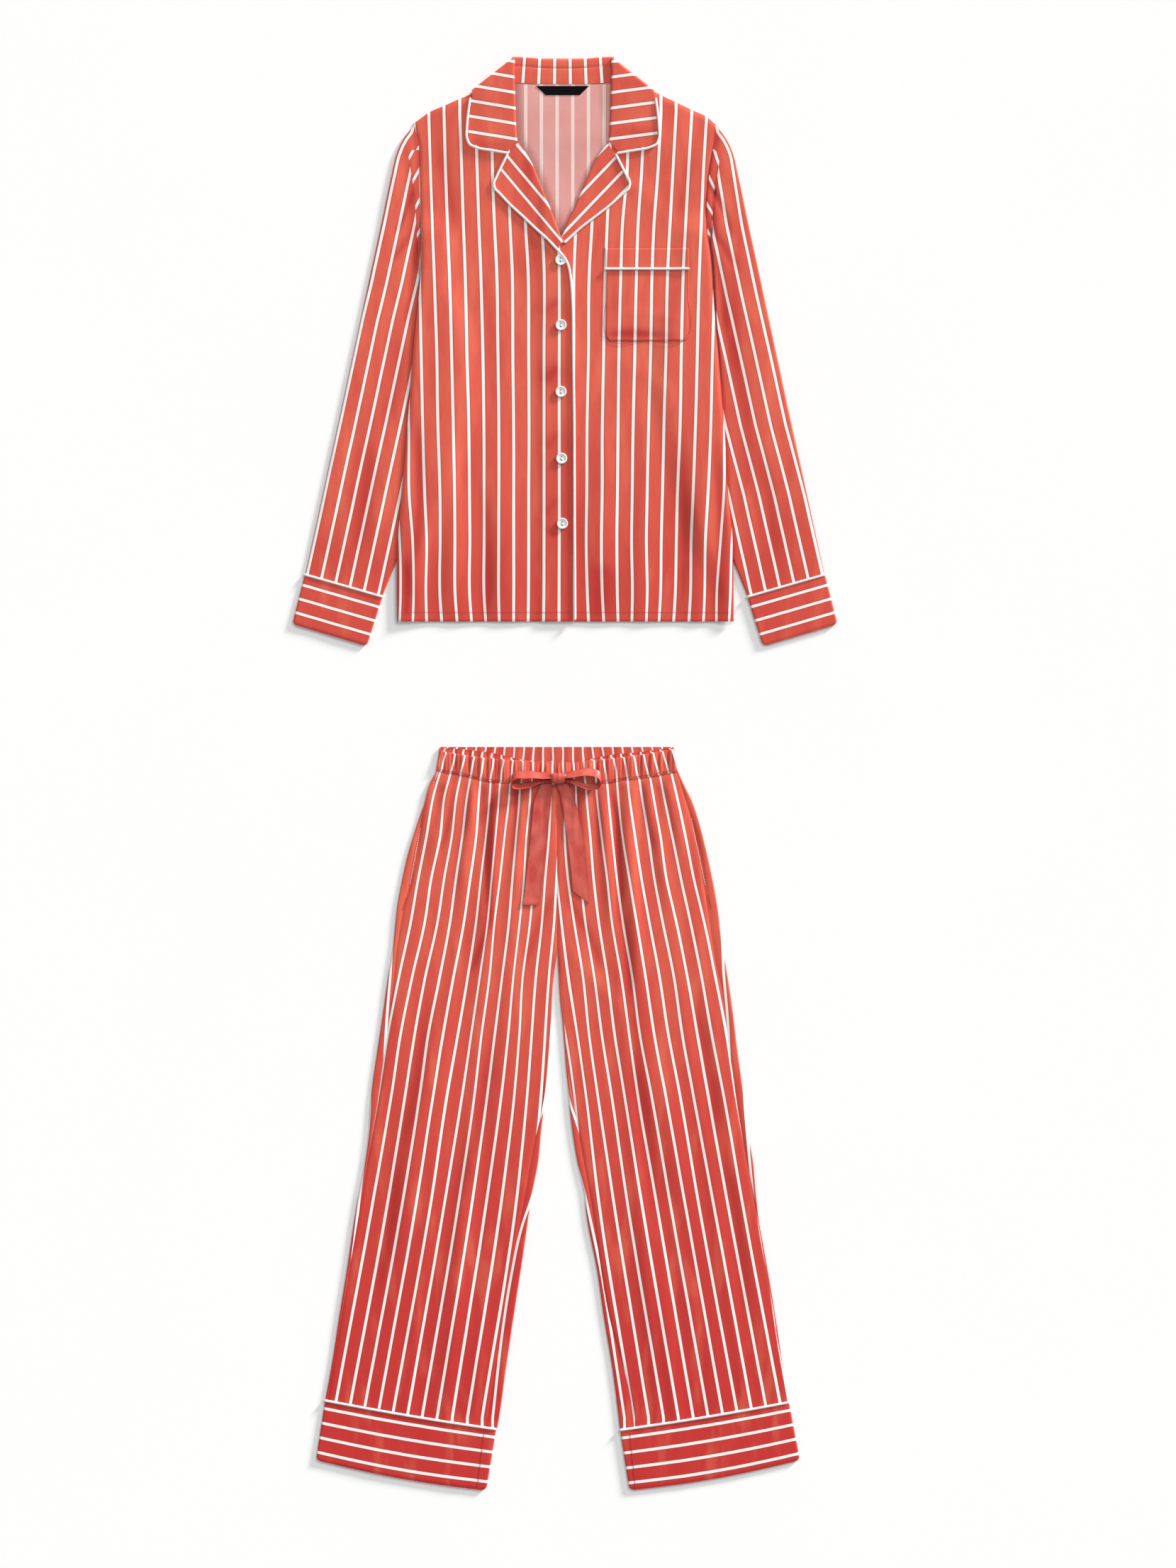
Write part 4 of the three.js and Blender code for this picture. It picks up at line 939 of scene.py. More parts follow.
def make_sleeve(scene, word, side):
    step, thickness = steps(scene)
    looks = SLEEVE_LOOKS[word]
    stations = curve(SLEEVE, round(SLEEVE_LENGTH / step))
    a = stations[:, :2] * (side, 1)
    b = stations[:, 2:] * (side, 1)

    def lift(x, y):
        return 0.2 * ripple(x, y, 15, 8 + side) + creases(SLEEVE_CREASES[word], x, y)

    top, under, distance, turns = flat_tube(a, b, TUBE, thickness, step, lift)
    width = np.linalg.norm(b - a, axis=1)[:, None]
    run = np.linspace(0, SLEEVE_LENGTH, len(a))[:, None]
    shift = -side * np.interp(distance / width, *np.transpose(looks["bow"])) * (1 - ramp(run, 0, 60))
    top[..., 0] += shift
    under[..., 0] += shift
    x, y = top[..., 0], top[..., 1]
    px, py = to_chart(x, y)
    inset = np.interp(py, *np.transpose(looks["inset"])) * UNIT
    edge = np.concatenate([a[:1] + (0, 30), a])
    over = (distance_to(edge[::4], x, y) - inset) / SLEEVE_PITCH
    number = np.where(turns >= 0, over, -(distance + inset) / SLEEVE_PITCH)
    seam, fold = np.array(looks["seam"]), np.array(looks["fold"])
    seam_x, fold_x = (np.interp(py, line[:, 1], line[:, 0]) for line in (seam, fold))
    crumpled = (py + looks["slant"] * (px - seam_x) - looks["start"]) / looks["apart"]
    inside = 0.5 - side * (px - fold_x) / 3
    inside = inside * ramp(py, 210, 220) * (1 - ramp(py, 352, 366)) * (turns >= 0)
    patch = np.stack([crumpled, np.clip(inside, 0, 1)], -1)
    # Painted shade: darker beside the body's side edge, in the listed ovals and in the crease troughs; gap
    # adds a darker painted shadow along the crumpled fold by the armhole and in the crevice beside the body
    beyond = side * (x - SHIRT_SIDE[word](y))
    shade = (0.5 if side < 0 else 0.9) * (1 - ramp(beyond, 0, 6)) * (turns >= 0)
    shade = shade + shade_patches(SLEEVE_SHADE, x, y) - 0.9 * creases(SLEEVE_CREASES[word], x, y)
    gap = (1 - ramp(np.abs(px - fold_x), 1.2, 3.2)) * ramp(py, 215, 250) * (1 - ramp(py, 350, 385))
    gap = np.maximum(gap, (1 - ramp(beyond, 2.4, 4.4)) * ramp(py, 340, 365) * (1 - ramp(py, 470, 640)))
    gap = (0.3 if side < 0 else 0.5) * gap * (turns >= 0)
    number, patch, shade, gap = (closed(each, -1) for each in (number, patch, shade, gap))
    part = shell(top, under, number, patch, around=True, shade=shade, gap=gap)
    name = f"sleeve_{word}"
    lay(f"{name}_cloth", [part], [name], cloth_pair(scene), flat=(0.36, 0.62))


def make_band(scene, name, corners, first, pitch, flat, bow=0):
    """A turned cuff and the piping of its seam. corners: outer and inner top, outer and inner end;
    first and pitch say where its stripes run below the seam, bow how far its end bows out."""
    step, thickness = steps(scene)
    outer_top, inner_top, outer_end, inner_end = (np.array(c, float) for c in corners)
    length = float(np.linalg.norm(outer_end - outer_top))
    width = np.linalg.norm(inner_top - outer_top)
    across = unit(inner_top - outer_top)
    rows = 1.4 + (length - 1.4) * spaced(length, step, (0, 0.6, 1.6, 3, 4.6))
    corner = 6.0
    near = np.clip(corner - (length - rows), 0, corner)
    inset = corner - np.sqrt(corner**2 - near**2)
    share = (rows / length)[:, None]
    a = mix(outer_top, outer_end, share) + across * inset[:, None]
    b = mix(inner_top, inner_end, share) - across * inset[:, None]
    press = 1 - 0.22 * (1 - ramp(length - rows, 0, 3.5)) - 0.1 * (1 - ramp(rows, 1, 5))

    def lift(x, y):
        return 0.22 * ripple(x, y, 14, len(name))

    def bowed_tube(a, b, height, wall, share, **forms):
        top, under, distance, _ = flat_tube(a, b, height, wall, step, lift, **forms)
        reach = bow * np.sin(math.pi * np.clip(distance / width, 0, 1)) * (0.35 + 0.65 * share)
        for points in (top, under):
            points[..., :2] += reach[..., None] * (outer_end - outer_top) / length
        return top, under, distance

    top, under, distance = bowed_tube(a, b, BAND, thickness, share, press=press)
    number = np.repeat(((rows - first) / pitch)[:, None], distance.shape[1] + 1, axis=1)
    part = shell(top, under, number, around=True)
    lay(f"{name}_cloth", [part], [name], cloth_pair(scene), flat=flat)
    radius = scene.pyjama_trims.piping_radius / MM
    off = np.linspace(-1, 1, 7) * radius
    swell = np.sqrt(np.clip(radius**2 - off**2, 0, None)) * 0.95
    share = (off / length)[:, None]
    a, b = mix(outer_top, outer_end, share), mix(inner_top, inner_end, share)
    top, under, distance = bowed_tube(a, b, BAND - 0.1, 0.5, share, swell=swell)
    part = shell(top, under, closed(0 * distance), around=True, sides=(0, 0))
    piping = f"{name}_piping"
    lay(f"{piping}_cord", [part], [piping], [finishes(scene)["Piping"]],
        flat=(flat[0], 0.010))


def make_sleeve_cuff(scene, word, side):
    corners = [(side * x, y) for x, y in SLEEVE_CUFF]
    make_band(scene, f"sleeve_cuff_{word}", corners, 13.8, 18.4, (0.23, 0.075))


# Collar: roll edge and outer edge, from the gorge seam to the fold at the shoulder
COLLAR_X = -2.6
COLLAR_ROLL = [(726, 84), (727, 120), (728, 160), (729.5, 190)]
COLLAR_FRONT = [
    (59.4, 820.5, 71.4, 806.5), (59.8, 826, 94, 810.6), (60.4, 834, 112, 814.6), (61, 846, 121, 821),
    (61.6, 864, 122.4, 838), (62.4, 890, 120, 862), (63, 912, 118.2, 876), (62.4, 927, 116.8, 884)]
COLLAR_BACK = [(62.4, 927, 116.8, 884), (46, 927.6, 92, 876), (24, 927.6, 48, 870), (0, 927.6, 0, 868)]
FOLD_TOP = LAYER * 3 + WALL * 1.5 + SEAM * 2
STAND_TOP = level_line([
    (722, 80.5), (740, 81), (760, 82.8), (794, 83.8), (828, 82.8), (848, 81), (866, 80.5)])
STAND_BASE_Y = 894.3
STAND_HALF = 66
# The stand, from under its top edge round it and down its face: distance from the edge and height
STAND_PROFILE = np.array([
    (-1.8, 0.7), (-0.7, 0.9), (0, 1.5), (-0.4, 2.1), (-1.6, 2.4), (-4, 2.5), (-8, 2.45), (-10.6, 2.35),
    (-11.6, 1.95), (-12.6, 2.35), (-15, 2.5), (-20, 2.45), (-26, 2.35), (-31, 2.25), (-33.4, 2.1)])
# Painted shade on the collar and lapels: darker ovals of the chart
COLLAR_SHADE = [(905, 118, 34, 12, 0.5), (905, 188, 34, 10, 0.6), (690, 205, 30, 8, 0.4)]
LAPEL_SHADE = [(746, 243, 9, 26, 0.7), (785, 340, 8, 12, 0.5), (870, 258, 12, 8, 0.3)]
COLLAR_LENGTH = 150
LAPEL_LENGTH = 160
# Lapels on the chart: roll edge and outer edge, from the gorge seam down to the front edge
LAPEL = {
    "right": [
        (731, 201, 718, 217), (739.5, 213, 711, 232), (746, 223, 703.5, 249), (751.5, 233, 698.5, 261),
        (758, 249, 706, 272), (765, 267, 721, 288.5), (774.5, 290, 738, 304.5), (783.5, 313, 757, 322),
        (789, 328, 773, 337.5), (794, 341, 787, 351.5)],
    "left": [
        (857, 203, 867, 217), (848, 213.5, 874, 232), (841.5, 223.5, 881, 247), (835.5, 234, 886.5, 261),
        (828.5, 250, 879, 272), (821, 268, 861, 288), (811.5, 290, 840, 304.5), (801, 312, 818, 322.5),
        (794.5, 329, 801, 338), (790.5, 337, 794, 344)],
}
COLLAR_PIPING = [
    (70, 804.2), (94, 808.2), (112, 811.6), (121, 816), (124.6, 824), (124.6, 838), (122.2, 862),
    (120.2, 876)]
LAPEL_PIPING = {
    "right": [
        (716.5, 217.5), (709, 232), (701, 249), (696.6, 260.5), (698, 266), (704.5, 273), (720, 289.5),
        (738.5, 306.5), (757.5, 324.5), (773, 338.5)],
    "left": [
        (868.5, 218), (874.5, 230), (881.5, 244), (888.4, 260), (887, 265.5), (878, 274), (861.5, 289),
        (840.5, 305.5), (818.5, 322.5), (796, 343)],
}
FRONT_PIPING = [
    (773, 338.5), (780, 346), (787, 353.5), (793.5, 360.5), (799, 368.5), (802.6, 378), (805, 392),
    (807.3, 420), (808.8, 500), (810, 600), (810.6, 740), (811.3, 874.5)]


def rolled_strip(rows, radius, drop, step):
    """Plan points across a strip whose inner edge rolls under, and how far each column drops."""
    rows = np.asarray(rows, float)
    width = np.hypot(rows[:, 2] - rows[:, 0], rows[:, 3] - rows[:, 1])
    flat = np.linspace(0, 1, max(4, round(width.mean() / step)) + 1)[1:]
    angles = np.radians([90, 66, 44, 22, 0])
    start = radius / width[:, None]
    reach = np.concatenate([start * (1 - np.sin(angles)), mix(start, 1, flat)], axis=1)
    reach = np.concatenate([reach[:, :1], reach], axis=1)
    fall = np.concatenate([[radius + drop], radius * (1 - np.cos(angles)), np.zeros(len(flat))])
    return mix(rows[:, 0:1], rows[:, 2:3], reach), mix(rows[:, 1:2], rows[:, 3:4], reach), fall


def flap_number(x, y, side):
    """Stripes along one half of the collar, which slope a little."""
    px, py = to_chart(x, y)
    slope, hinge = (-0.165, 727) if side < 0 else (0.13, 862)
    return (py + slope * (px - hinge) - 88) / 21.75


def collar_half(side, step, thickness):
    """One half of the collar: its flap, the fold at the shoulder and what lies behind the neck."""
    rows = curve(COLLAR_FRONT, round(COLLAR_LENGTH / step))
    rows[:, ::2] = COLLAR_X + side * rows[:, ::2]
    x, y, fall = rolled_strip(rows, 2.4, 1.6, step)
    resting = front_top(x, y) + 0.9
    at_fold = ramp(y, 850, 886)
    shares = np.linspace(0, 1, x.shape[1])
    level = mix(resting, np.maximum(resting, FOLD_TOP), at_fold) - fall
    level -= 0.5 * shares**6 * (1 - at_fold)
    across = np.array(COLLAR_FRONT[-1])
    direction = unit(across[2:] - across[:2])
    turn = np.linspace(0, math.pi, 12)[1:, None]
    low = 0.5
    radius = (FOLD_TOP - low) / 2
    fold_x = x[-1] - side * direction[1] * np.sin(turn) * radius
    fold_y = y[-1] + direction[0] * np.sin(turn) * radius
    fold_z = low + radius * (1 + np.cos(turn)) - fall * (0.5 + 0.5 * np.cos(turn))
    back = curve(COLLAR_BACK, 26)[1:]
    back_x = COLLAR_X + side * mix(back[:, 0:1], back[:, 2:3], shares)
    back_y = mix(back[:, 1:2], back[:, 3:4], shares)
    x = np.concatenate([x, fold_x, back_x])
    y = np.concatenate([y, fold_y, back_y])
    top = points3(x, y, np.concatenate([level, fold_z, np.full(back_x.shape, low)]))
    normal = normals(top)
    normal *= np.sign(normal[0, -1, 2])
    # Painted shade in the listed ovals of the collar
    shade = shade_patches(COLLAR_SHADE, x, y)
    return shell(top, top - normal * thickness, flap_number(x, y, side), shade=shade)


def collar_stand(step, thickness):
    x = COLLAR_X + np.linspace(-STAND_HALF, STAND_HALF, round(2 * STAND_HALF / step))[None, :]
    y = np.maximum(STAND_TOP(x) + STAND_PROFILE[:, 0:1], STAND_BASE_Y)
    top = points3(x, y, STAND_PROFILE[:, 1:2] + 0.12 * ripple(x, y, 11, 2))
    px, py = to_chart(x, y)
    number = (px - 793.5) / (21.44 + 0.027 * (py - 84)) + 0.5
    tangent = unit(np.gradient(STAND_PROFILE, axis=0))
    inward = np.stack([np.zeros(len(tangent)), tangent[:, 1], -tangent[:, 0]], -1)[:, None]
    inward *= -np.sign(inward[len(tangent) // 2 + 1, 0, 2])
    return shell(top, top + inward * thickness * 0.9, number)


def make_collar(scene):
    step, thickness = steps(scene)
    step *= 0.75
    parts = [collar_half(side, step, thickness) for _, side in SIDES]
    parts.append(collar_stand(step, thickness))
    lay("collar_cloth", parts, ["collar"], cloth_pair(scene), flat=(0.47, 0.14))


def make_lapel(scene, word, side):
    step, thickness = steps(scene)
    step *= 0.75
    rows = from_chart(np.reshape(LAPEL[word], (-1, 2, 2))).reshape(-1, 4)
    rows = curve(rows, round(LAPEL_LENGTH / step))
    x, y, fall = rolled_strip(rows, 1.7, 0.9, step)
    top = front_top(x, y) + SEAM + 0.9 - fall + 0.12 * ripple(x, y, 9, 4)
    top -= np.linspace(0, 1, x.shape[1]) ** 6 * 0.35
    px, py = to_chart(x, y)
    if side < 0:
        number = (0.766 * px - 0.643 * py - 406.3) / 20.6
        number = np.maximum(np.where(number < 0, number * 1.12, number), -1.5)
    else:
        number = (0.72 * px + 0.69 * py - 779) / 20.6
    # Painted shade in the listed ovals of the lapels
    part = shell(*thin(x, y, top, thickness), number, shade=shade_patches(LAPEL_SHADE, x, y))
    name = f"lapel_{word}"
    lay(f"{name}_cloth", [part], [name], cloth_pair(scene), flat=(0.06, 0.15))


def make_shirt_piping(scene):
    radius = scene.pyjama_trims.piping_radius / MM
    white = [finishes(scene)["Piping"]]

    def lay_cord(node, rows, count, length):
        x, y = curve(rows, count).T
        rest = np.max([front_top(x + dx, y + dy) for dx in (-3, 0, 3) for dy in (-3, 0, 3)], axis=0)
        path = points3(x, y, rest + SEAM * 0.5 + radius)
        lay(f"{node}_cord", [cord(path, radius, squash=0.75)], [node], white, flat=(0.010, length))

    for word, side in SIDES:
        rows = np.array(COLLAR_PIPING)
        rows[:, 0] = COLLAR_X + side * rows[:, 0]
        lay_cord(f"collar_piping_{word}", rows, 70, 0.14)
        lay_cord(f"lapel_piping_{word}", from_chart(LAPEL_PIPING[word]), 80, 0.16)
    lay_cord("front_edge_piping", from_chart(FRONT_PIPING), 200, 0.5)


# Buttons down the front: place of each, as the solids have them
BUTTONS = [(-5.5, 666), (-5.2, 581.5), (-5.2, 495), (-4.4, 408.5), (-3.4, 324)]
BUTTON_HEIGHT = 2.6
HOLE_Y = 2.1
HOLE_RADIUS = 1.05


def lathe(profile, sides):
    """A closed turned mesh of rings about the upright axis."""
    turns = np.arange(sides) / sides * 2 * math.pi
    rings = [np.stack([r * np.cos(turns), r * np.sin(turns), np.full(sides, z)], -1) for r, z in profile]
    points = np.concatenate(rings + [[(0, 0, profile[0][1])], [(0, 0, profile[-1][1])]])
    ids = np.arange(len(profile) * sides).reshape(-1, sides)
    walls = quads(closed(ids))[:, ::-1].tolist()
    low, high = len(points) - 2, len(points) - 1
    walls += [[low, ids[0, (k + 1) % sides], ids[0, k]] for k in range(sides)]
    walls += [[high, ids[-1, k], ids[-1, (k + 1) % sides]] for k in range(sides)]
    mesh = bpy.data.meshes.new("turned")
    mesh.from_pydata((points * MM).tolist(), [], [[int(i) for i in face] for face in walls])
    return mesh


def button_mesh(radius):
    """A button with a rounded rim, a dished middle and two holes."""
    shares = [
        (0.72, 0), (0.9, 0.25), (0.985, 0.7), (1, 1.25), (1, 1.6), (0.985, 2.05), (0.94, 2.4),
        (0.88, BUTTON_HEIGHT), (0.82, 2.56), (0.77, 2.35), (0.72, 2.1), (0.64, 1.92), (0.4, 1.84)]
    profile = [(radius * share, z) for share, z in shares]
    scene = bpy.context.scene
    disc = bpy.data.objects.new("disc", lathe(profile, 40))
    scene.collection.objects.link(disc)
    bores = []
    for y in (HOLE_Y, -HOLE_Y):
        bore = bpy.data.objects.new("bore", lathe([(HOLE_RADIUS, -1), (HOLE_RADIUS, 4)], 16))
        bore.location.y = y * MM
        scene.collection.objects.link(bore)
        cut = disc.modifiers.new("hole", "BOOLEAN")
        cut.operation, cut.solver, cut.object = "DIFFERENCE", "EXACT", bore
        bores.append(bore)
    bpy.context.view_layer.update()
    mesh = bpy.data.meshes.new_from_object(disc.evaluated_get(bpy.context.evaluated_depsgraph_get()))
    for made in [disc, *bores]:
        bpy.data.objects.remove(made)
    for face in mesh.polygons:
        face.use_smooth = True
    mesh.set_sharp_from_angle(angle=math.radians(40))
    return mesh


def make_buttons(scene):
    made = finishes(scene)
    radius = scene.pyjama_trims.button_radius / MM
    for k, (x, y) in enumerate(BUTTONS, 1):
        mesh = button_mesh(radius)
        mesh.materials.clear()
        mesh.materials.append(made["Polished button"])
        piece = bpy.data.objects.new(f"button_{k}_turned", mesh)
        near = np.array([-6.0, 0, 6])
        rest = float(right_top(x + near, y + near[:, None]).max()) + 0.1
        piece.location = (x * MM, y * MM, rest * MM)
        scene.collection.objects.link(piece)
        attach(piece, BODY)
        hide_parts(f"button_{k}")
        height = float(right_top(np.float64(x), np.float64(y))) + 2.2
        places = [(-HOLE_Y, height - 0.7), (-1.5, height), (1.5, height), (HOLE_Y, height - 0.7)]
        thread = cord([(x, y + along, z) for along, z in places], 0.45)
        stitches = mesh_object(f"button_{k}_thread", [thread], [made["White thread"]])
        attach(stitches, BODY)


# The pocket and its band: left, right, top and base, and how far the pocket's foot corners are cut
POCKET = (51.8, 161.6, 652.6, 560.4)
POCKET_CORNER = 6.5
POCKET_BAND = (51.6, 162, 682.4, 656.2)
POCKET_CREASES = [(860, 474, 950, 478, 5, -0.5), (880, 440, 960, 452, 9, 0.3)]
# Painted shade on the pocket: darker ovals of the chart
POCKET_SHADE = [(892, 471, 34, 9, 1.0), (870, 425, 14, 18, 0.3)]


def pocket_top(x, y):
    return left_top(x, y) + SEAM + 0.35


def oblong(left, right, top_y, base_y, step):
    """Shares across an upright oblong of cloth and the levels of its rows."""
    return spaced(right - left, step), mix(top_y, base_y, spaced(top_y - base_y, step))[:, None]


def make_pocket(scene):
    step, thickness = steps(scene)
    step *= 0.8

    def lay_on(node, x, y, near_edge, lift, flat, shade=0, gap=0):
        height = pocket_top(x, y) + lift
        # Painted shade along the edges of the pocket and of its band
        shade = 0.8 * (1 - ramp(near_edge, 0, 1.8)) + shade
        number = LEFT_FRONT_STRIPES.number(x, y)
        part = shell(*thin(x, y, height, thickness * 0.8), number, shade=shade, gap=gap)
        lay(f"{node}_cloth", [part], [node], cloth_pair(scene), flat=flat)

    left, right, top_y, base_y = POCKET
    across, y = oblong(*POCKET, step)
    cut = POCKET_CORNER * np.clip(1 - (y - base_y) / POCKET_CORNER, 0, 1) ** 1.3
    x = mix(left + cut, right - cut, across)
    near_edge = np.minimum(np.minimum(x - left - cut, right - cut - x), y - base_y)
    belly = np.sin(math.pi * across) * np.clip(np.sin(math.pi * (y - base_y) / (top_y - base_y)), 0, 1)
    low = creases(POCKET_CREASES, x, y)
    lift = 0.5 + 0.5 * belly + low - 0.8 * (1 - ramp(near_edge, 0, 2.4)) + 0.1 * ripple(x, y, 12, 6)
    # Painted shade in the listed ovals and in the crease troughs
    lay_on("pocket", x, y, near_edge, lift, (0.12, 0.105), shade_patches(POCKET_SHADE, x, y) - 0.8 * low)

    left, right, top_y, _ = POCKET_BAND
    across, y = oblong(*POCKET_BAND, step)
    x = mix(left, right, across) + 0 * y
    near_edge = np.minimum(np.minimum(x - left, right - x), top_y - y)
    lift = 0.8 - 0.8 * (1 - ramp(near_edge, 0, 2.2)) + 0.1 * ripple(x, y, 10, 7)
    # Painted shadow: a dark line along the band's edges
    gap = 0.35 * (1 - ramp(near_edge, 0.3, 1.3))
    lay_on("pocket_band", x, y, near_edge, lift, (0.12, 0.055), gap=gap)

    radius = scene.pyjama_trims.piping_radius / MM
    x = np.linspace(*POCKET[:2], 60)
    y = np.full(60, (POCKET[2] + POCKET_BAND[3]) / 2)
    path = points3(x, y, pocket_top(x, y) + 0.7 + radius * 0.6)
    lay("pocket_piping_cord", [cord(path, radius)], ["pocket_piping"],
        [finishes(scene)["Piping"]], flat=(0.115, 0.010))


# The label: its middle, the levels of its top and foot, and half its width there
LABEL_X = -3
LABEL_LEVELS = (891.8, 880)
LABEL_HALF = (34.3, 22.2)


def make_label(scene):
    _, thickness = steps(scene)
    down = np.linspace(0, 1, 9)[:, None]
    y = mix(*LABEL_LEVELS, down)
    x = LABEL_X + np.linspace(-1, 1, 31) * mix(*LABEL_HALF, down)
    top = back_under(x, y) + 1.2 + 0.1 * ripple(x, y, 7, 1)
    part = shell(*thin(x, y, top, thickness * 0.7), np.zeros(x.shape), sides=(0, 0))
    lay("neck_label_tape", [part], ["neck_label"], [finishes(scene)["Woven tape"]],
        flat=(0.069, 0.02))


# Trousers: charts of the stripes, outlines and seams

TROUSER_X = -10.6
TROUSER_TOP_Y = 2.5
CROTCH_Y = -252
LEG_LENGTH = 850
LEG_WIDTH = 230
RIGHT_LEG_STRIPES = StripeChart(0, {
    1090: (621, 636, 651, 665, 679, 693, 706, 720, 734, 749, 763, 777.5, 791.5),
    1120: (612.2, 627.8, 644.7, 659.5, 676.3, 691.2, 704.2, 718.7, 733, 748.3, 762, 777, 791),
    1180: (601.7, 621.2, 637.5, 652, 672.2, 685.5, 699.2, 711.7, 728.3, 742.8, 758, 774.5, 789),
    1240: (590, 608.3, 626.7, 643, 663.7, 678.3, 693.7, 705, 723, 739.2, 753, 769.2, 785),
    1300: (579.7, 599.5, 617.5, 635, 655, 671.7, 688.3, 697.2, 718.3, 733.3, 747.8, 764.7, 781.7),
    1380: (562.5, 581.2, 599.5, 620, 639.5, 659.7, 676.7, 690, 708.3, 724.2, 737, 755.8, 774.2),
    1460: (547, 565, 585, 604, 625, 646, 665, 679, 698, 717, 732.6, 750, 769),
    1540: (534.4, 553, 572.4, 593, 612, 631.5, 653, 670, 688, 708, 726, 744, 763.6),
    1690: (507, 527, 548, 569, 588.4, 609, 628.4, 648, 667, 687, 708, 729, 749),
    2000: (448.7, 469.8, 490.6, 511.8, 532.4, 553.2, 574.3, 595.4, 616.5, 638, 659.5, 680.3, 701),
})
LEFT_LEG_STRIPES = StripeChart(0, {
    1060: (782, 796, 810.5, 825, 839, 853.5, 868, 882, 896.5, 911, 925, 939.5, 954),
    1120: (782, 798, 812.8, 827.2, 841.7, 857.8, 871.7, 887.2, 905, 921.2, 935.8, 954.2, 971),
    1180: (781, 796.7, 814, 832.8, 848.7, 863.7, 878, 895.8, 914.7, 931.7, 948.3, 967, 985),
    1240: (785.5, 801.2, 819, 837.5, 856.7, 870, 887.8, 905, 923.3, 940, 960.8, 978.8, 997),
    1300: (792, 810, 825.5, 844.5, 863.3, 878.3, 898, 915.8, 934.7, 953.8, 973.8, 993.3, 1012),
    1380: (802, 823, 838.5, 857, 877, 892, 911, 930.7, 951, 970, 990, 1009.5, 1029),
    1460: (814.4, 831, 849, 867, 888, 902.4, 923, 943, 962.4, 984, 1004, 1025, 1045),
    1540: (826, 842.4, 862, 880, 899, 918, 938, 958.4, 977, 998, 1020, 1037, 1057),
    1690: (844, 865, 884, 904, 925, 944, 965, 984, 1005, 1025, 1046, 1066, 1086),
    2000: (894, 915, 936, 957, 978.2, 999.2, 1020.2, 1041.3, 1062.3, 1083.4, 1104.4, 1125.4, 1146),
})


def strip_chart(places):
    """A chart of the two stripes of a narrow strip, from the place of the first at some levels."""
    return StripeChart(0, {level: (x, x + 19.5) for level, x in places})


# The back panels wrap round both edges of a leg up to its seams. Their stripes there, on the outer
# and on the inner edge: level on the chart and place of the first
STRIP_STRIPES = {
    "right": (
        strip_chart([
            (1089, 578.5), (1168, 559.5), (1248, 543), (1290, 537.5), (1330, 534), (1380, 530.8),
            (1420, 527.5), (1475, 524), (1600, 519), (1650, 512), (1700, 506), (1800, 494.3),
            (2000, 463)]),
        strip_chart([
            (1379, 784), (1457, 778), (1500, 775), (1562, 766.5), (1590, 757), (1687, 731.5),
            (1731, 716.5), (1798, 702), (1871, 690.3), (2000, 675.5)])),
    "left": (
        strip_chart([
            (1088, 966), (1124, 980), (1164, 992), (1224, 1006), (1285, 1016), (1380, 1021.3),
            (1440, 1026.5), (1480, 1028.5), (1560, 1031.5), (1610, 1035.5), (1660, 1040),
            (1700, 1044.5), (1800, 1061), (1976, 1092)]),
        strip_chart([
            (1379, 765.5), (1440, 770.5), (1520, 778.5), (1548, 782.5), (1585, 794.5), (1665, 820),
            (1731, 835), (1798, 849), (1871, 861), (2000, 881)])),
}
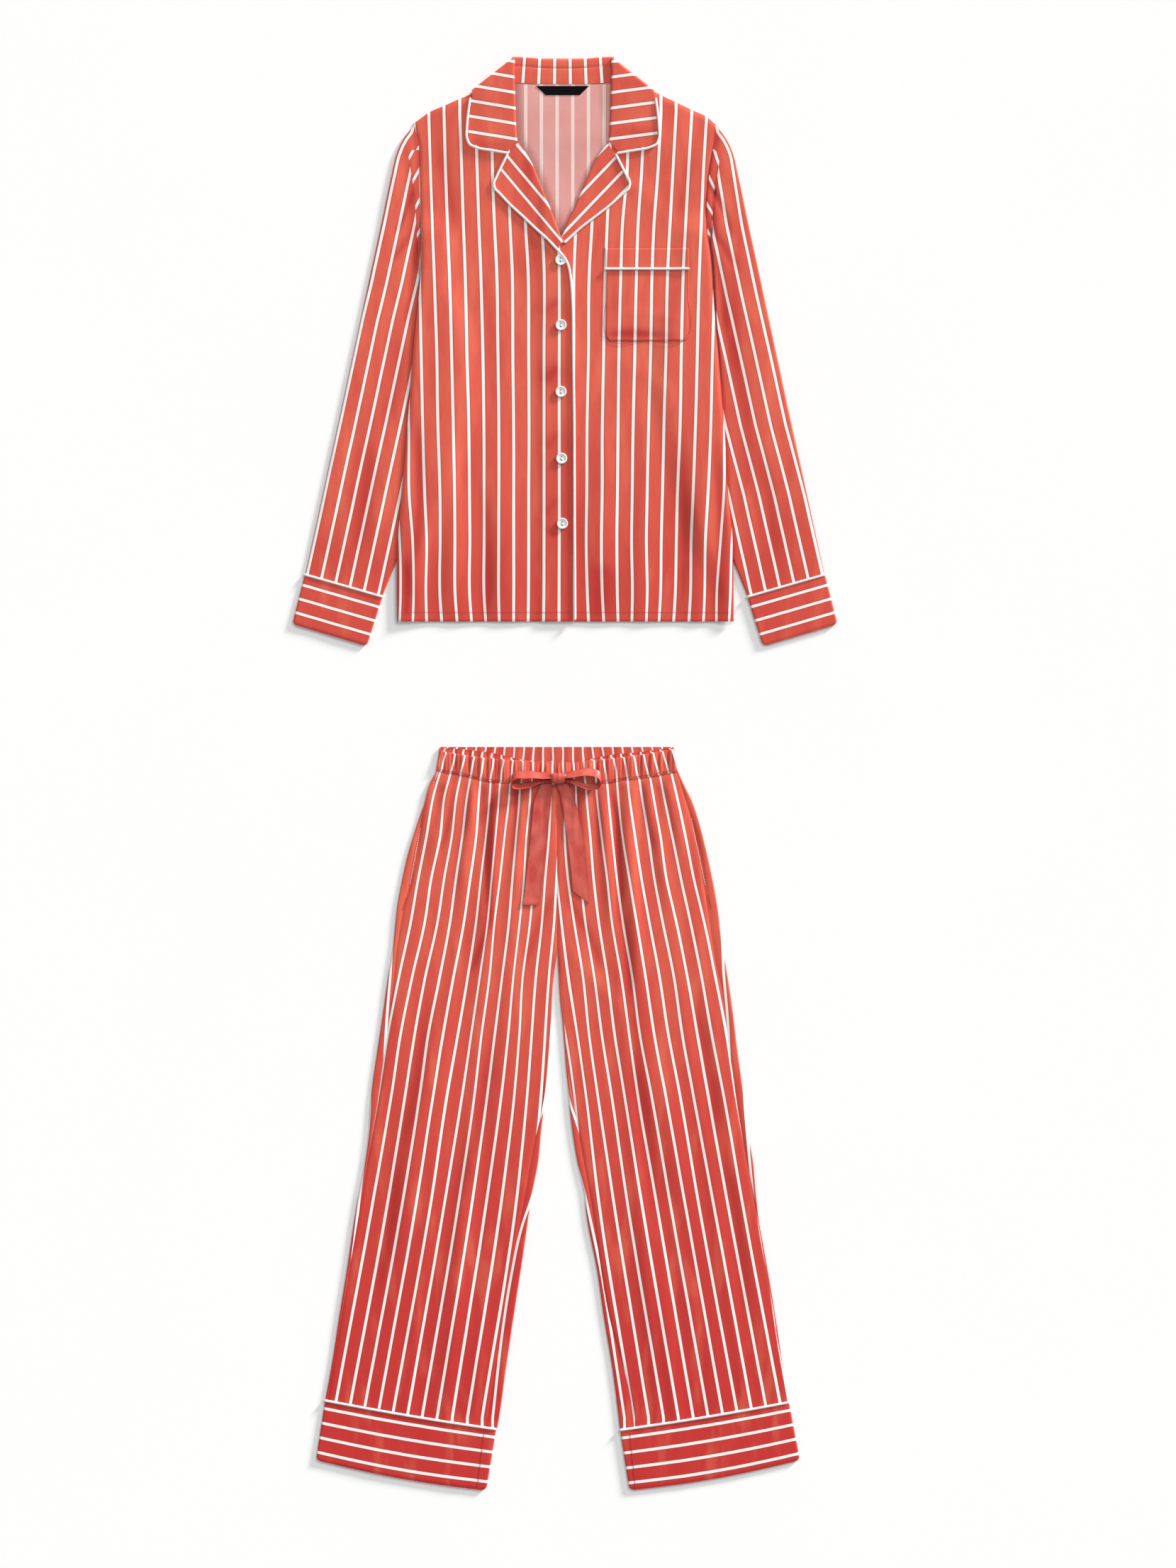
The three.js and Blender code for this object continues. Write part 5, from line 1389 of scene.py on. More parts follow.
LEG_LINES = {
    "right": {
        "outer": edge_line([
            (616, 1089), (606, 1116.5), (594, 1147), (585, 1174), (575, 1208), (568, 1239), (562, 1270),
            (554, 1340), (547.5, 1380), (539, 1440), (533, 1480), (527, 1520), (522.5, 1560), (520, 1600),
            (514.5, 1640), (503.5, 1700), (490, 1789), (478, 1863), (469, 1921), (459, 1976)]),
        "outer_seam": edge_line([
            (615.5, 1089), (609, 1100), (600, 1130), (592, 1168), (584, 1208), (577.5, 1248), (568, 1290),
            (560, 1340), (556, 1380), (551, 1420), (546, 1460), (543, 1480), (537.5, 1520),
            (532.5, 1556), (518.5, 1640), (508.5, 1700), (491.5, 1800), (462, 1976)]),
        "inner": edge_line([
            (786, 1080), (786, 1300), (785.3, 1345), (781, 1379), (776.5, 1457), (773, 1500), (769, 1546),
            (763, 1600), (759, 1640), (751, 1681), (739, 1763), (726, 1848), (713, 1936), (704, 2000),
            (701, 2017)]),
        "inner_seam": edge_line([
            (786, 1080), (786, 1300), (785.3, 1345), (781, 1379), (776, 1457), (772, 1500), (767.5, 1540),
            (762.5, 1575), (754, 1612), (740, 1690), (707, 1871), (688, 2000), (685, 2017)]),
        "end": ((459, 1975.5), (700, 2016)),
    },
    "left": {
        "outer": edge_line([
            (956.5, 1088), (964, 1105), (976, 1130), (987, 1164), (997, 1203), (1004, 1235), (1012, 1279),
            (1017, 1321), (1020, 1340), (1030, 1400), (1040, 1480), (1048, 1540), (1055, 1600),
            (1062, 1637), (1066, 1680), (1073, 1739.5), (1085, 1804), (1098, 1892), (1113, 1978)]),
        "outer_seam": edge_line([
            (956, 1088), (960, 1100), (966, 1124), (978, 1164), (989, 1224), (999, 1285), (1004, 1323),
            (1010, 1360), (1019, 1400), (1024.5, 1440), (1028.5, 1480), (1033, 1510), (1040, 1560),
            (1054, 1640), (1066, 1700), (1085, 1804), (1112, 1978)]),
        "inner": edge_line([
            (786, 1080), (786, 1300), (787, 1345), (788.5, 1379), (789.5, 1400), (793.5, 1440),
            (800, 1520), (803.5, 1560), (815, 1640), (824, 1680), (828, 1716), (842, 1789),
            (853, 1863), (865, 1936), (873, 2000), (875, 2017)]),
        "inner_seam": edge_line([
            (786, 1080), (786, 1300), (787, 1345), (788.5, 1379), (793.8, 1440), (803, 1520),
            (808, 1548), (819, 1612), (833, 1690), (860, 1860), (890, 1976), (895, 2017)]),
        "end": ((1113, 1978), (875, 2017)),
    },
}
WAIST_BASE = level_line([
    (614, 1086.5), (620, 1088), (650, 1093), (684.5, 1101), (740, 1106.3), (787, 1107.3), (848, 1105),
    (875, 1101), (915, 1096), (955, 1088), (960, 1086.5)])
WAIST_TOP = level_line([
    (622, 1055), (660, 1058), (700.5, 1063.5), (741, 1072.5), (781, 1074), (821, 1073), (861, 1065),
    (901.5, 1061), (952, 1054.5)])
# The waistband: half its width at its base and top, and the levels of its back there
WAIST_HALF = (156.5, 151.5)
WAIST_BACK = (2.8, 34.2)
# Where its front ends, an arc on the chart: level, rise, middle and half width
LIP = (1074, 16, 778, 165)

TROUSER_FOLDS = [
    (-150, -6, -172, -110, 8, 1.7), (-118, -10, -134, -160, 8, 2.1), (-86, -14, -104, -230, 9, 2.4),
    (-56, -16, -66, -150, 8, 1.9), (46, -16, 62, -190, 8, 2.3), (76, -14, 96, -260, 9, 2.4),
    (108, -10, 130, -150, 8, 1.9), (136, -6, 152, -100, 8, 1.6), (-170, -330, -214, -620, 17, 1.7),
    (-110, -420, -150, -760, 17, 1.5), (120, -360, 168, -640, 17, 1.7), (92, -520, 134, -790, 16, 1.5)]
TROUSER_CREASES = [
    (695, 1112, 690, 1300, 4.5, -1.6), (690, 1290, 664, 1370, 5, -0.9), (640, 1100, 622, 1200, 4, -0.9),
    (662, 1104, 652, 1180, 3.5, -0.7), (728, 1112, 722, 1210, 4, -0.8), (755, 1112, 750, 1180, 3.5, -0.7),
    (862, 1112, 874, 1290, 4.5, -1.4), (878, 1290, 888, 1400, 5, -0.8), (838, 1112, 846, 1200, 4, -0.8),
    (905, 1106, 922, 1200, 4, -0.8), (932, 1100, 948, 1180, 3.5, -0.7), (812, 1112, 814, 1190, 3.5, -0.6),
    (600, 1420, 566, 1620, 9, -0.8), (560, 1640, 528, 1830, 8, -0.7), (690, 1480, 640, 1700, 10, -0.7),
    (650, 1700, 612, 1900, 9, 0.6), (980, 1420, 1010, 1600, 9, -0.8), (1020, 1640, 1050, 1850, 8, -0.7),
    (890, 1500, 930, 1720, 10, -0.7), (940, 1700, 980, 1900, 9, 0.6), (775, 1270, 740, 1360, 7, -0.7),
    (594, 1160, 576, 1262, 2.2, -0.8), (974, 1150, 996, 1258, 2.2, -0.8), (800, 1270, 850, 1370, 7, -0.7),
    (780, 1330, 700, 1420, 9, 0.5), (795, 1330, 880, 1430, 9, 0.5)]
# Painted shade on the trousers: darker ovals in the folds, beside the pocket slits and at the crotch
TROUSER_SHADE = [
    (575, 1180, 10, 80, 0.4), (984, 1190, 12, 90, 0.4), (692, 1200, 9, 90, 0.6), (668, 1340, 10, 70, 0.4),
    (872, 1230, 9, 90, 0.5), (886, 1360, 14, 100, 0.5), (905, 1490, 22, 130, 0.45), (700, 1640, 20, 190, 0.4),
    (560, 1700, 24, 180, 0.4), (985, 1700, 34, 200, 0.35), (786, 1362, 5, 18, 1.0), (640, 1900, 30, 90, 0.3),
    (940, 1880, 30, 90, 0.3), (815, 1190, 6, 60, 0.4), (745, 1120, 20, 10, 0.4), (820, 1122, 20, 8, 0.4)]


def gathers(x, y):
    """Small gathers under the waistband, which die out down the leg."""
    depth = -y - 14
    wave = np.sin(x / 4.1 + 0.9 * np.sin(x / 17)) + 0.6 * np.sin(x / 7.3 + 1.3)
    return 0.6 * wave * (1 - ramp(depth, 4, 110)) * ramp(depth, -4, 8)


def trouser_top(x, y):
    folds = ridges(TROUSER_FOLDS, x, y) + creases(TROUSER_CREASES, x, y)
    return LAYER + WALL + folds + gathers(x, y) + 0.24 * ripple(x, y, 19, 11)


def make_trouser_front(scene, word, side):
    step, thickness = steps(scene)
    lines = LEG_LINES[word]
    across = spaced(LEG_WIDTH, step, (0, 0.5, 1.3, 2.6))[None, :]
    outer_end, inner_end = from_chart(lines["end"])
    end = mix(inner_end[1], outer_end[1], across) + 1.3
    head = WAIST_BASE(TROUSER_X + side * across * WAIST_HALF[0]) + 1.2
    y = mix(head, end, spaced(LEG_LENGTH, step)[:, None])
    x = mix(lines["inner_seam"](y), lines["outer_seam"](y), across)
    top = trouser_top(x, y)
    near = np.minimum(np.abs(x - lines["outer_seam"](y)), np.abs(x - lines["inner_seam"](y)))
    top -= 0.55 * (1 - ramp(near, 0, 2.6)) + 0.5 * (1 - ramp(head - y, 0, 4))
    chart = RIGHT_LEG_STRIPES if word == "right" else LEFT_LEG_STRIPES
    # Painted shade in the listed ovals, the crease troughs and the troughs of the gathers
    shade = shade_patches(TROUSER_SHADE, x, y) - 0.85 * creases(TROUSER_CREASES, x, y) - 0.5 * gathers(x, y)
    part = shell(*thin(x, y, top, thickness), chart.number(x, y), shade=shade)
    name = f"trouser_front_{word}"
    lay(f"{name}_cloth", [part], [name], cloth_pair(scene), flat=(0.30, 0.90))


def make_trouser_back(scene, word, side):
    """A back panel: flat below, rolled at both edges and wrapped over them up to the seams. Its
    columns go from the outer seam round the outer edge, underneath and round the inner edge."""
    step, thickness = steps(scene)
    lines = LEG_LINES[word]
    outer_end, inner_end = from_chart(lines["end"])
    down = spaced(LEG_LENGTH, step)
    a_y, b_y = (mix(TROUSER_TOP_Y, end[1] + 1.3, down) for end in (outer_end, inner_end))
    a = np.stack([lines["outer"](a_y), a_y], -1)
    b = np.stack([lines["inner"](b_y), b_y], -1)
    width = np.linalg.norm(b - a, axis=1)[:, None]
    direction = (b - a) / width
    roll = 1.6
    outer_strip = np.abs(lines["outer_seam"](a_y) - a[:, 0])[:, None] - 0.15
    inner_strip = np.abs(lines["inner_seam"](b_y) - b[:, 0])[:, None] - 0.15
    outer_strip, inner_strip = (np.maximum(strip, roll + 0.4) for strip in (outer_strip, inner_strip))
    flat_count, strip_count = 40, 6
    flat = np.linspace(0, 1, flat_count)
    strip = np.linspace(0, 1, strip_count)
    rolling = np.radians([75, 50, 25, 0, -25, -50, -75])
    round_off = roll * (1 - np.cos(rolling))
    distance = np.concatenate([
        mix(outer_strip, roll, strip), 0 * width + round_off, mix(roll, width - roll, flat),
        width - round_off[::-1], mix(width - roll, width - inner_strip, strip)], axis=1)
    right = math.pi / 2
    turns = np.concatenate([
        np.full(strip_count, right), rolling, np.full(flat_count, -right), rolling[::-1],
        np.full(strip_count, right)])
    outwards = np.where(np.abs(turns) == right, 0, np.cos(turns))
    outwards[len(turns) // 2:] *= -1
    wrap = (1 - ramp(b_y, CROTCH_Y - 26, CROTCH_Y - 4))[:, None]
    at_inner = np.arange(len(turns)) >= strip_count + len(rolling) + flat_count
    fade = 1 - ramp(strip, 0, 0.5)
    drop = 0.5 * np.concatenate([fade, np.zeros(len(turns) - 2 * strip_count), fade[::-1]])

    def side_of(inset):
        reach = distance + outwards * inset
        plan = a[:, None] + direction[:, None] * reach[..., None]
        z = (1 + np.sin(turns)) * (LAYER + WALL) / 2 - inset * np.sin(turns)
        lift = trouser_top(plan[..., 0], plan[..., 1]) - LAYER - WALL
        z = z + lift * np.clip(np.sin(turns), 0, 1)
        z = np.where(at_inner, mix(np.minimum(z, 0.62 - inset * np.sin(turns) * 0.2), z, wrap), z)
        z -= drop * np.where(at_inner, wrap, 1)
        return np.concatenate([plan, z[..., None]], -1)

    top, under = side_of(0), side_of(thickness)
    x, y = top[..., 0], top[..., 1]
    outer_number, inner_number = (chart.number(x, y) for chart in STRIP_STRIPES[word])
    edge = strip_count + len(rolling) // 2
    outer, inner = slice(edge, edge + 1), slice(-edge - 1, -edge)
    # Whole stripes are added, so that underneath they lie about 20 units of the chart apart
    apart = inner_number[:, inner] - outer_number[:, outer]
    inner_number += float(np.round(np.mean(side * width / (UNIT * 20) - apart)))
    share = (distance - distance[:, outer]) / (distance[:, inner] - distance[:, outer])
    number = mix(outer_number[:, outer], inner_number[:, inner], share)
    number[:, :edge] = outer_number[:, :edge]
    number[:, -edge:] = inner_number[:, -edge:]
    # Painted shade in the listed ovals
    part = shell(top, under, number, shade=shade_patches(TROUSER_SHADE, x, y))
    name = f"trouser_back_{word}"
    lay(f"{name}_cloth", [part], [name], cloth_pair(scene), flat=(0.33, 0.90))


def band_pleat(x):
    """The rucks of the waistband, coarse and fine."""
    coarse = np.sin(x / 2.2 + 1.2 * np.sin(x / 9)) + 0.7 * np.sin(x / 4.4 + 0.7)
    return coarse + 0.75 * np.sin(x / 0.85 + 2 * np.sin(x / 13))


def band_lip(x):
    """Where the front of the waistband ends, with the back of it showing beyond."""
    level, rise, middle, half = LIP
    px, _ = to_chart(x, 0)
    return (MIDDLE[1] - level + rise * ((px - middle) / half) ** 2) * UNIT


def make_waistband(scene):
    """The gathered band: a flattened ring whose front dips, so that the inside of its back shows. Its
    columns go along the front, round one end, back underneath and round the other end."""
    _, thickness = steps(scene)
    rows, columns = 32, 240
    share = np.linspace(0, 1, rows)[:, None]
    half = mix(*WAIST_HALF, share)
    radius = BAND / 2
    turning = np.radians([60, 30, 0, -30, -60])

    def ring(inset):
        x = TROUSER_X + np.linspace(-1, 1, columns) * (half - radius)
        front_y = mix(WAIST_BASE(x), WAIST_TOP(x), share)
        plump = np.sin(np.clip(share, 0.02, 0.98) * math.pi) ** 0.5
        sunk = 0.7 * ramp(front_y - band_lip(x), -0.4, 0.4)
        front_z = BAND - 0.5 + (0.9 + 0.5 * band_pleat(x)) * plump - sunk - inset
        back_y = mix(*WAIST_BACK, share)
        back_z = 0.05 + inset + 0.25 * (1 + np.sin(x / 2.6)) * (inset > 0)
        end_x = half - radius + np.cos(turning) * (radius - inset)
        end_z = radius + np.sin(turning) * (radius - inset)
        return np.concatenate([
            points3(x, front_y, front_z),
            points3(TROUSER_X + end_x, back_y, end_z),
            points3(x[:, ::-1], back_y, back_z[:, ::-1]),
            points3(TROUSER_X - end_x[:, ::-1], back_y, end_z[::-1])], axis=1)

    top, under = ring(0), ring(thickness * 1.2)
    x, y = top[..., 0], top[..., 1]
    px, py = to_chart(x, y)
    pleat = band_pleat(x)
    pitch = np.where(px < 780, 13.65, 14.1) + (py - 1060) * 0.025
    number = (px - 780) / pitch + 0.02 * np.sin(py / 5 + x / 9)
    front = np.arange(top.shape[1]) < columns
    beyond = y - band_lip(x)
    number = number + 0.24 * ramp(beyond, -0.4, 0.4) * front
    # Painted shade: a dark line along the front's top edge and darker beyond it, darker in the troughs of the
    # rucks and at the band's base and top, and the back darker all over
    lip = 0.28 * ramp(beyond, -0.4, 0.4) + 0.6 * np.exp(-(((beyond - 0.7) / 0.8) ** 2))
    ends = (1 - ramp(share, 0, 0.15)) * (0.45 - 0.25 * pleat) + 0.5 * ramp(share, 0.86, 1)
    shade = np.where(front, 0.16 - 0.4 * pleat * np.sin(share * math.pi) + ends + lip, 0.4)
    part = shell(top, under, closed(number), around=True, sides=(0, 0), shade=closed(shade))
    lay("waistband_cloth", [part], ["waistband"], cloth_pair(scene), flat=(0.66, 0.04))


LEG_CUFF_ENDS = {"right": ((446, 2060), (686, 2102)), "left": ((1128.5, 2060), (888, 2102))}


def make_leg_cuff(scene, word):
    corners = [*from_chart(LEG_LINES[word]["end"]), *from_chart(LEG_CUFF_ENDS[word])]
    make_band(scene, f"leg_cuff_{word}", corners, 10.2, 19.1, (0.47, 0.085), bow=4.2)


# Stitches

# Their distance, the share of it that a stitch takes up, and half a stitch's width
STITCH_STEP = 3
STITCH_SHARE = 0.74
STITCH_HALF = 0.28


def stitch_row(scene, name, rows, height, thread="Red thread"):
    """A row of stitches along a line of the chart, each a small flat bar. height is a function of x
    and y, the level of the cloth under it."""
    rows = from_chart(rows)
    length = np.linalg.norm(np.diff(rows, axis=0), axis=1).sum()
    path = curve(rows, max(3, round(length / STITCH_STEP)))
    along = np.diff(path, axis=0)
    aside = unit(np.stack([-along[:, 1], along[:, 0]], -1)) * STITCH_HALF
    start, end = path[:-1], path[:-1] + along * STITCH_SHARE
    plan = np.stack([start - aside, start + aside, end + aside, end - aside], 1)
    level = height(plan[..., 0], plan[..., 1])
    points = np.concatenate([
        np.concatenate([plan, (level + rise)[..., None]], -1) for rise in (-0.2, 0.22)], axis=1)
    box = np.array([(0, 3, 2, 1), (4, 5, 6, 7), (0, 1, 5, 4), (1, 2, 6, 5), (2, 3, 7, 6), (3, 0, 4, 7)])
    faces = (np.arange(len(points))[:, None, None] * 8 + box).reshape(-1, 4)
    part = plain_part(points.reshape(-1, 3), faces)
    piece = mesh_object(name, [part], [finishes(scene)[thread]])
    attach(piece, BODY)


def make_stitches(scene):
    def level(height):
        return lambda x, y: height + 0 * x

    on_cuff = level(BAND + 0.3)
    rows = [
        ("hem_stitches_right", [(566, 864), (806, 864)], right_top),
        ("hem_stitches_left", [(815, 864), (1029, 864)], left_top),
        ("pocket_stitches", [
            (855.4, 352), (855.4, 420), (855.4, 473), (860, 479.6), (912, 479.6), (965, 479.6),
            (970.4, 473), (970.4, 420), (970.4, 352)], lambda x, y: pocket_top(x, y) + 0.45),
        ("stand_stitches", [(727, 94), (760, 95.4), (794, 96.4), (828, 95.4), (863, 94)], level(2.15)),
        ("waistband_stitches", [
            (620, 1085.5), (650, 1090.4), (684, 1098), (740, 1103), (787, 1104), (848, 1101.8), (875, 1098),
            (915, 1093), (955, 1085)], level(3.05)),
        ("leg_cuff_stitches_right", [(683, 2022), (674, 2096)], on_cuff),
        ("leg_cuff_stitches_left", [(888.6, 2020.6), (897, 2100)], on_cuff),
        ("pocket_tack_right", [(575, 1265), (568, 1285)], trouser_top),
        ("pocket_tack_left", [(999, 1262), (1004, 1282)], trouser_top),
    ]
    for name, places, height in rows:
        stitch_row(scene, name, places, height)
    for word, ends in (("right", [(593, 1168), (578, 1248.5)]), ("left", [(975, 1155), (995, 1250)])):
        stitch_row(scene, f"pocket_edge_{word}", ends, trouser_top, "White thread")


# Ribbon bow

BOW_Z = 4.6
# The knot's middle and half its size each way
KNOT = (-8.8, -6.6, 7.5, 9.3, 7.2, 3.6)
# The lower edge of each loop's band, out and back
LOOPS = {
    "right": [
        (-17, 0.4), (-34, 2), (-52, 3.4), (-64, 2.6), (-69, -3), (-67.6, -9.6), (-61, -13), (-49, -12),
        (-36, -8.6), (-26, -5.4), (-17, -4)],
    "left": [
        (-1, 0.8), (16, 4.4), (34, 6.8), (44, 3), (46.6, -4), (43.6, -11), (34, -14), (20, -11.4),
        (9, -7), (-1, -4.4)],
}
# Each tail: y, and x of its two edges there
TAILS = {
    "right": [
        (-13, -30, -17), (-20, -34, -17), (-35, -39.5, -18), (-70, -43.6, -21.6), (-120, -48.6, -27.2),
        (-171, -55, -33.4)],
    "left": [
        (-13, -12, 3.8), (-20, -8, 7), (-35, -4.6, 12.6), (-70, 0.6, 21.8), (-112, 6.2, 27.4),
        (-161, 10.6, 31.2)],
}
TAIL_CUT = {"right": 0, "left": 17}


def make_bow(scene):
    made = finishes(scene)
    satin_pair = [made["Satin ribbon"]]
    for word, path in LOOPS.items():
        line = curve(path, 64)
        share = np.linspace(0, 1, 64)[:, None]
        width = mix(0.7, 1, np.sin(share * math.pi)) * mix(1.15, 0.8, ramp(share, 0.4, 0.7))
        v = np.linspace(0, 1, 9)[None, :]
        cup = np.sin(v * math.pi) * 1.0 * np.sin(share * math.pi)
        x = line[:, 0:1] + 0 * v
        y = line[:, 1:2] - 9.4 * width * v + 0.3 * np.sin(share * 30 + v * 2)
        z = BOW_Z + 7.6 * width * v - cup
        top = points3(x, y, z)
        normal = normals(top)
        # Painted shade on the loops: darker all over, at their edges and at both ends
        edge = np.maximum(1 - ramp(v, 0, 0.14), ramp(v, 0.9, 1))
        shade = 0.34 + 0.5 * edge + 0.5 * (1 - ramp(share, 0, 0.16)) + 0.6 * ramp(share, 0.86, 1)
        part = shell(top + normal * 0.25, top - normal * 0.25, np.zeros(x.shape), sides=(0, 0), shade=shade)
        name = f"ribbon_loop_{word}"
        lay(f"{name}_satin", [part], [name], satin_pair, flat=(0.023, 0.16))
    for word, rows in TAILS.items():
        rows = np.array(rows[::-1], float)
        v = np.linspace(0, 1, 60)[:, None]
        u = np.linspace(0, 1, 15)[None, :]
        y = mix(rows[-1, 0], rows[0, 0], v) + v * TAIL_CUT[word] * (0.5 - u)
        left, right = smooth(rows[:, 0], rows[:, 1], y), smooth(rows[:, 0], rows[:, 2], y)
        x = mix(left, right, u)
        rest = np.max([trouser_top(x + dx, y) for dx in (-5, 0, 5)], axis=0) + 1.2
        raised = mix(BOW_Z + 0.4, 0, ramp(-y, 15, 60))
        kinks = 0.9 * np.exp(-(((v - 0.2 - 0.05 * u) / 0.05) ** 2))
        kinks = kinks + 0.6 * np.exp(-(((v - 0.46 + 0.06 * u) / 0.05) ** 2))
        wave = 0.3 * np.sin(v * 9 + u * 1.5) + 0.35 * np.cos(u * 6.2) * np.exp(-v * 6) + kinks * (1 - 0.6 * u)
        hemmed = 0.45 * ramp(v, 0.952, 0.96) * (word == "right")
        top = np.maximum(rest, raised) + np.clip(wave, -0.2, 1) + hemmed
        # Painted shade on the tails: darker at their edges, near the knot, at the cut end and in two bands
        # across
        edge = np.maximum(1 - ramp(u, 0, 0.08), ramp(u, 0.9, 0.99))
        bands = 0.45 * u * np.exp(-(((v - 0.26 + 0.1 * u) / 0.06) ** 2))
        bands = bands + 0.45 * (1 - 0.5 * u) * np.exp(-(((v - 0.45 + 0.07 * u) / 0.045) ** 2))
        shade = 0.75 * edge + 0.5 * (1 - ramp(v, 0, 0.1)) + bands + 0.6 * ramp(v, 0.985, 1)
        part = shell(*thin(x, y, top, 0.45), np.zeros(x.shape), sides=(0, 0), shade=shade)
        name = f"ribbon_tail_{word}"
        lay(f"{name}_satin", [part], [name], satin_pair, flat=(0.024, 0.18))
    x, y, z, half_x, half_y, half_z = KNOT
    turns = np.arange(40) / 40 * 2 * math.pi
    along = np.linspace(-1, 1, 15)[:, None]
    crown = 1 - 0.22 * np.abs(along) ** 3
    crumple = 1 + 0.05 * np.sin(along * 9 + np.sin(turns) * 1.3)

    def ring(inset):
        ring_y = y + np.cos(turns) * (half_y * crown * crumple - inset)
        ring_z = z + np.sin(turns) * (half_z * crown * crumple - inset)
        return points3(x + along * half_x * (1 + 0.08 * np.cos(turns)), ring_y, ring_z)

    # Painted shade on the knot, darker towards its ends
    shade = 0.25 + 0.6 * ramp(np.abs(along), 0.6, 1)
    part = shell(ring(0), ring(0.6), np.zeros((15, 41)), around=True, sides=(0, 0), shade=shade)
    lay("ribbon_knot_satin", [part], ["ribbon_knot"], satin_pair, flat=(0.024, 0.04))


# Stage

# Half the floor's width and its level in metres, width and height of the picture on the chart,
# width of the camera's sensor, and the angle and the two tilts of each light in degrees
FLOOR_HALF = 8.0
FLOOR_Z = -0.0004
PICTURE = (1659, 2212)
SENSOR = 36
LIGHTS = {"key": (24, (-38, 36)), "low": (8, (-44, 74.6))}


def make_stage(scene):
    sizes = scene.pyjama_stage
    half = FLOOR_HALF
    corners = [(-half, -half, FLOOR_Z), (half, -half, FLOOR_Z), (half, half, FLOOR_Z), (-half, half, FLOOR_Z)]
    mesh = bpy.data.meshes.new("floor")
    mesh.from_pydata(corners, [], [(0, 1, 2, 3)])
    mesh.materials.append(floor_finish(colour(sizes.floor)))
    floor = bpy.data.objects.new("floor", mesh)
    scene.collection.objects.link(floor)
    floor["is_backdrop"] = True
    for name, (angle, tilt) in LIGHTS.items():
        lamp = bpy.data.lights.new(name, "SUN")
        lamp.energy = getattr(sizes, name)
        lamp.angle = math.radians(angle)
        lamp.color = (1.0, 0.985, 0.965)
        light = bpy.data.objects.new(name, lamp)
        light.rotation_euler = (math.radians(tilt[0]), math.radians(tilt[1]), 0)
        scene.collection.objects.link(light)
    world = bpy.data.worlds.new("soft light")
    world.use_nodes = True
    background = world.node_tree.nodes["Background"]
    background.inputs["Color"].default_value = (0.98, 0.99, 1.0, 1)
    background.inputs["Strength"].default_value = sizes.fill
    scene.world = world
    view = bpy.data.cameras.new("overhead")
    view.sensor_width = SENSOR
    view.lens = SENSOR * sizes.height / (PICTURE[1] * UNIT * MM)
    view.clip_end = 60
    camera = bpy.data.objects.new("overhead", view)
    x, y = from_chart((PICTURE[0] / 2, PICTURE[1] / 2)) * MM
    camera.location = (x, y, sizes.height)
    scene.collection.objects.link(camera)
    scene.camera = camera
    scene.view_settings.view_transform = "Standard"
    scene.view_settings.look = "None"


# Operators: one for each piece or group of like pieces, and one for the stage

class PYJAMA_OT_stage(bpy.types.Operator):
    """Make the floor, the light and the camera straight above"""

    bl_idname = "pyjama.stage"
    bl_label = "Stage"

    def execute(self, context):
        make_stage(context.scene)
        return {"FINISHED"}


class PYJAMA_OT_shirt_body(bpy.types.Operator):
    """Make the back and the two fronts of the shirt"""

    bl_idname = "pyjama.shirt_body"
    bl_label = "Shirt body"

    def execute(self, context):
        make_shirt_back(context.scene)
        for word, _ in SIDES:
            make_shirt_front(context.scene, word)
        return {"FINISHED"}


class PYJAMA_OT_sleeves(bpy.types.Operator):
    """Make both sleeves with their turned cuffs and piping"""

    bl_idname = "pyjama.sleeves"
    bl_label = "Sleeves and cuffs"

    def execute(self, context):
        for word, side in SIDES:
            make_sleeve(context.scene, word, side)
            make_sleeve_cuff(context.scene, word, side)
        return {"FINISHED"}


class PYJAMA_OT_collar(bpy.types.Operator):
    """Make the collar with its stand and the two lapels"""

    bl_idname = "pyjama.collar"
    bl_label = "Collar and lapels"

    def execute(self, context):
        make_collar(context.scene)
        for word, side in SIDES:
            make_lapel(context.scene, word, side)
        return {"FINISHED"}


class PYJAMA_OT_shirt_piping(bpy.types.Operator):
    """Make the piping of the collar, lapels and front edge"""

    bl_idname = "pyjama.shirt_piping"
    bl_label = "Shirt piping"

    def execute(self, context):
        make_shirt_piping(context.scene)
        return {"FINISHED"}


class PYJAMA_OT_buttons(bpy.types.Operator):
    """Make the five buttons and the thread that holds them"""

    bl_idname = "pyjama.buttons"
    bl_label = "Buttons"

    def execute(self, context):
        make_buttons(context.scene)
        return {"FINISHED"}


class PYJAMA_OT_pocket(bpy.types.Operator):
    """Make the chest pocket, its band and its piping"""

    bl_idname = "pyjama.pocket"
    bl_label = "Chest pocket"

    def execute(self, context):
        make_pocket(context.scene)
        return {"FINISHED"}


class PYJAMA_OT_label(bpy.types.Operator):
    """Make the bare neck label"""

    bl_idname = "pyjama.label"
    bl_label = "Neck label"

    def execute(self, context):
        make_label(context.scene)
        return {"FINISHED"}


class PYJAMA_OT_trousers(bpy.types.Operator):
    """Make the fronts and backs of the legs"""

    bl_idname = "pyjama.trousers"
    bl_label = "Trouser legs"

    def execute(self, context):
        for word, side in SIDES:
            make_trouser_back(context.scene, word, side)
            make_trouser_front(context.scene, word, side)
        return {"FINISHED"}


class PYJAMA_OT_waistband(bpy.types.Operator):
    """Make the gathered waistband"""

    bl_idname = "pyjama.waistband"
    bl_label = "Waistband"

    def execute(self, context):
        make_waistband(context.scene)
        return {"FINISHED"}


class PYJAMA_OT_leg_cuffs(bpy.types.Operator):
    """Make the turned cuffs of the legs and their piping"""

    bl_idname = "pyjama.leg_cuffs"
    bl_label = "Leg cuffs"

    def execute(self, context):
        for word, _ in SIDES:
            make_leg_cuff(context.scene, word)
        return {"FINISHED"}


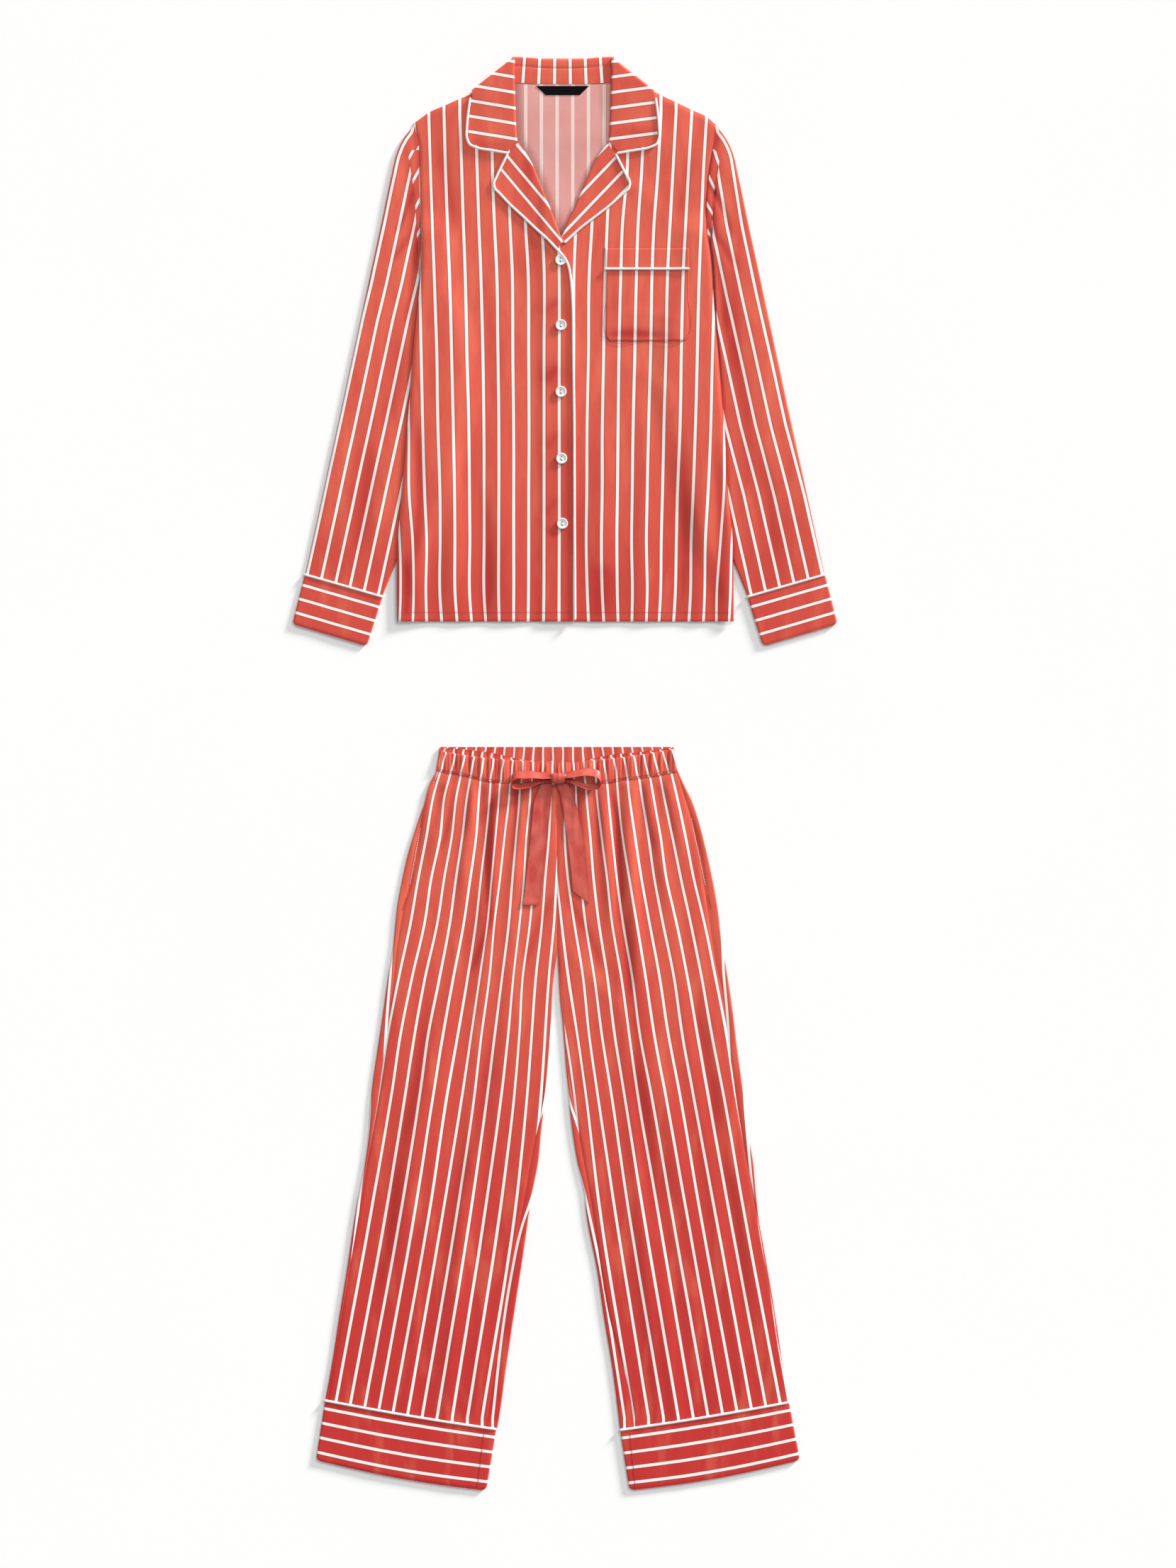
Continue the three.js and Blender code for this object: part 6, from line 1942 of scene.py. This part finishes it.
class PYJAMA_OT_stitches(bpy.types.Operator):
    """Make the rows of stitches that show"""

    bl_idname = "pyjama.stitches"
    bl_label = "Stitches"

    def execute(self, context):
        make_stitches(context.scene)
        return {"FINISHED"}


class PYJAMA_OT_bow(bpy.types.Operator):
    """Make the ribbon drawstring, tied in a bow with two free ends"""

    bl_idname = "pyjama.bow"
    bl_label = "Ribbon bow"

    def execute(self, context):
        make_bow(context.scene)
        return {"FINISHED"}


OPERATORS = (
    PYJAMA_OT_stage, PYJAMA_OT_shirt_body, PYJAMA_OT_sleeves, PYJAMA_OT_collar, PYJAMA_OT_shirt_piping,
    PYJAMA_OT_buttons, PYJAMA_OT_pocket, PYJAMA_OT_label, PYJAMA_OT_trousers, PYJAMA_OT_waistband,
    PYJAMA_OT_leg_cuffs, PYJAMA_OT_stitches, PYJAMA_OT_bow)


class PYJAMA_PT_pieces(bpy.types.Panel):
    """Sizes, colours and pieces of the pyjama set"""

    bl_idname = "PYJAMA_PT_pieces"
    bl_label = "Pyjama set"
    bl_space_type = "VIEW_3D"
    bl_region_type = "UI"
    bl_category = "Pyjamas"

    def draw(self, context):
        for group in (context.scene.pyjama_cloth, context.scene.pyjama_trims, context.scene.pyjama_stage):
            for name in group.__annotations__:
                self.layout.prop(group, name)
        for operator in OPERATORS:
            self.layout.operator(operator.bl_idname)


GROUPS = (("pyjama_cloth", ClothSizes), ("pyjama_trims", TrimSizes), ("pyjama_stage", StageSizes))


def register():
    for name, group in GROUPS:
        bpy.utils.register_class(group)
        setattr(bpy.types.Scene, name, bpy.props.PointerProperty(type=group))
    for made in (*OPERATORS, PYJAMA_PT_pieces):
        bpy.utils.register_class(made)


def unregister():
    for made in (PYJAMA_PT_pieces, *reversed(OPERATORS)):
        bpy.utils.unregister_class(made)
    for name, group in reversed(GROUPS):
        delattr(bpy.types.Scene, name)
        bpy.utils.unregister_class(group)


def main():
    register()
    for operator in OPERATORS:
        group, name = operator.bl_idname.split(".")
        getattr(getattr(bpy.ops, group), name)()
    sizes = {"cad": CAD_BOX, "visual": [list(corner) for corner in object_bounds()]}


if __name__ == "__main__":
    main()
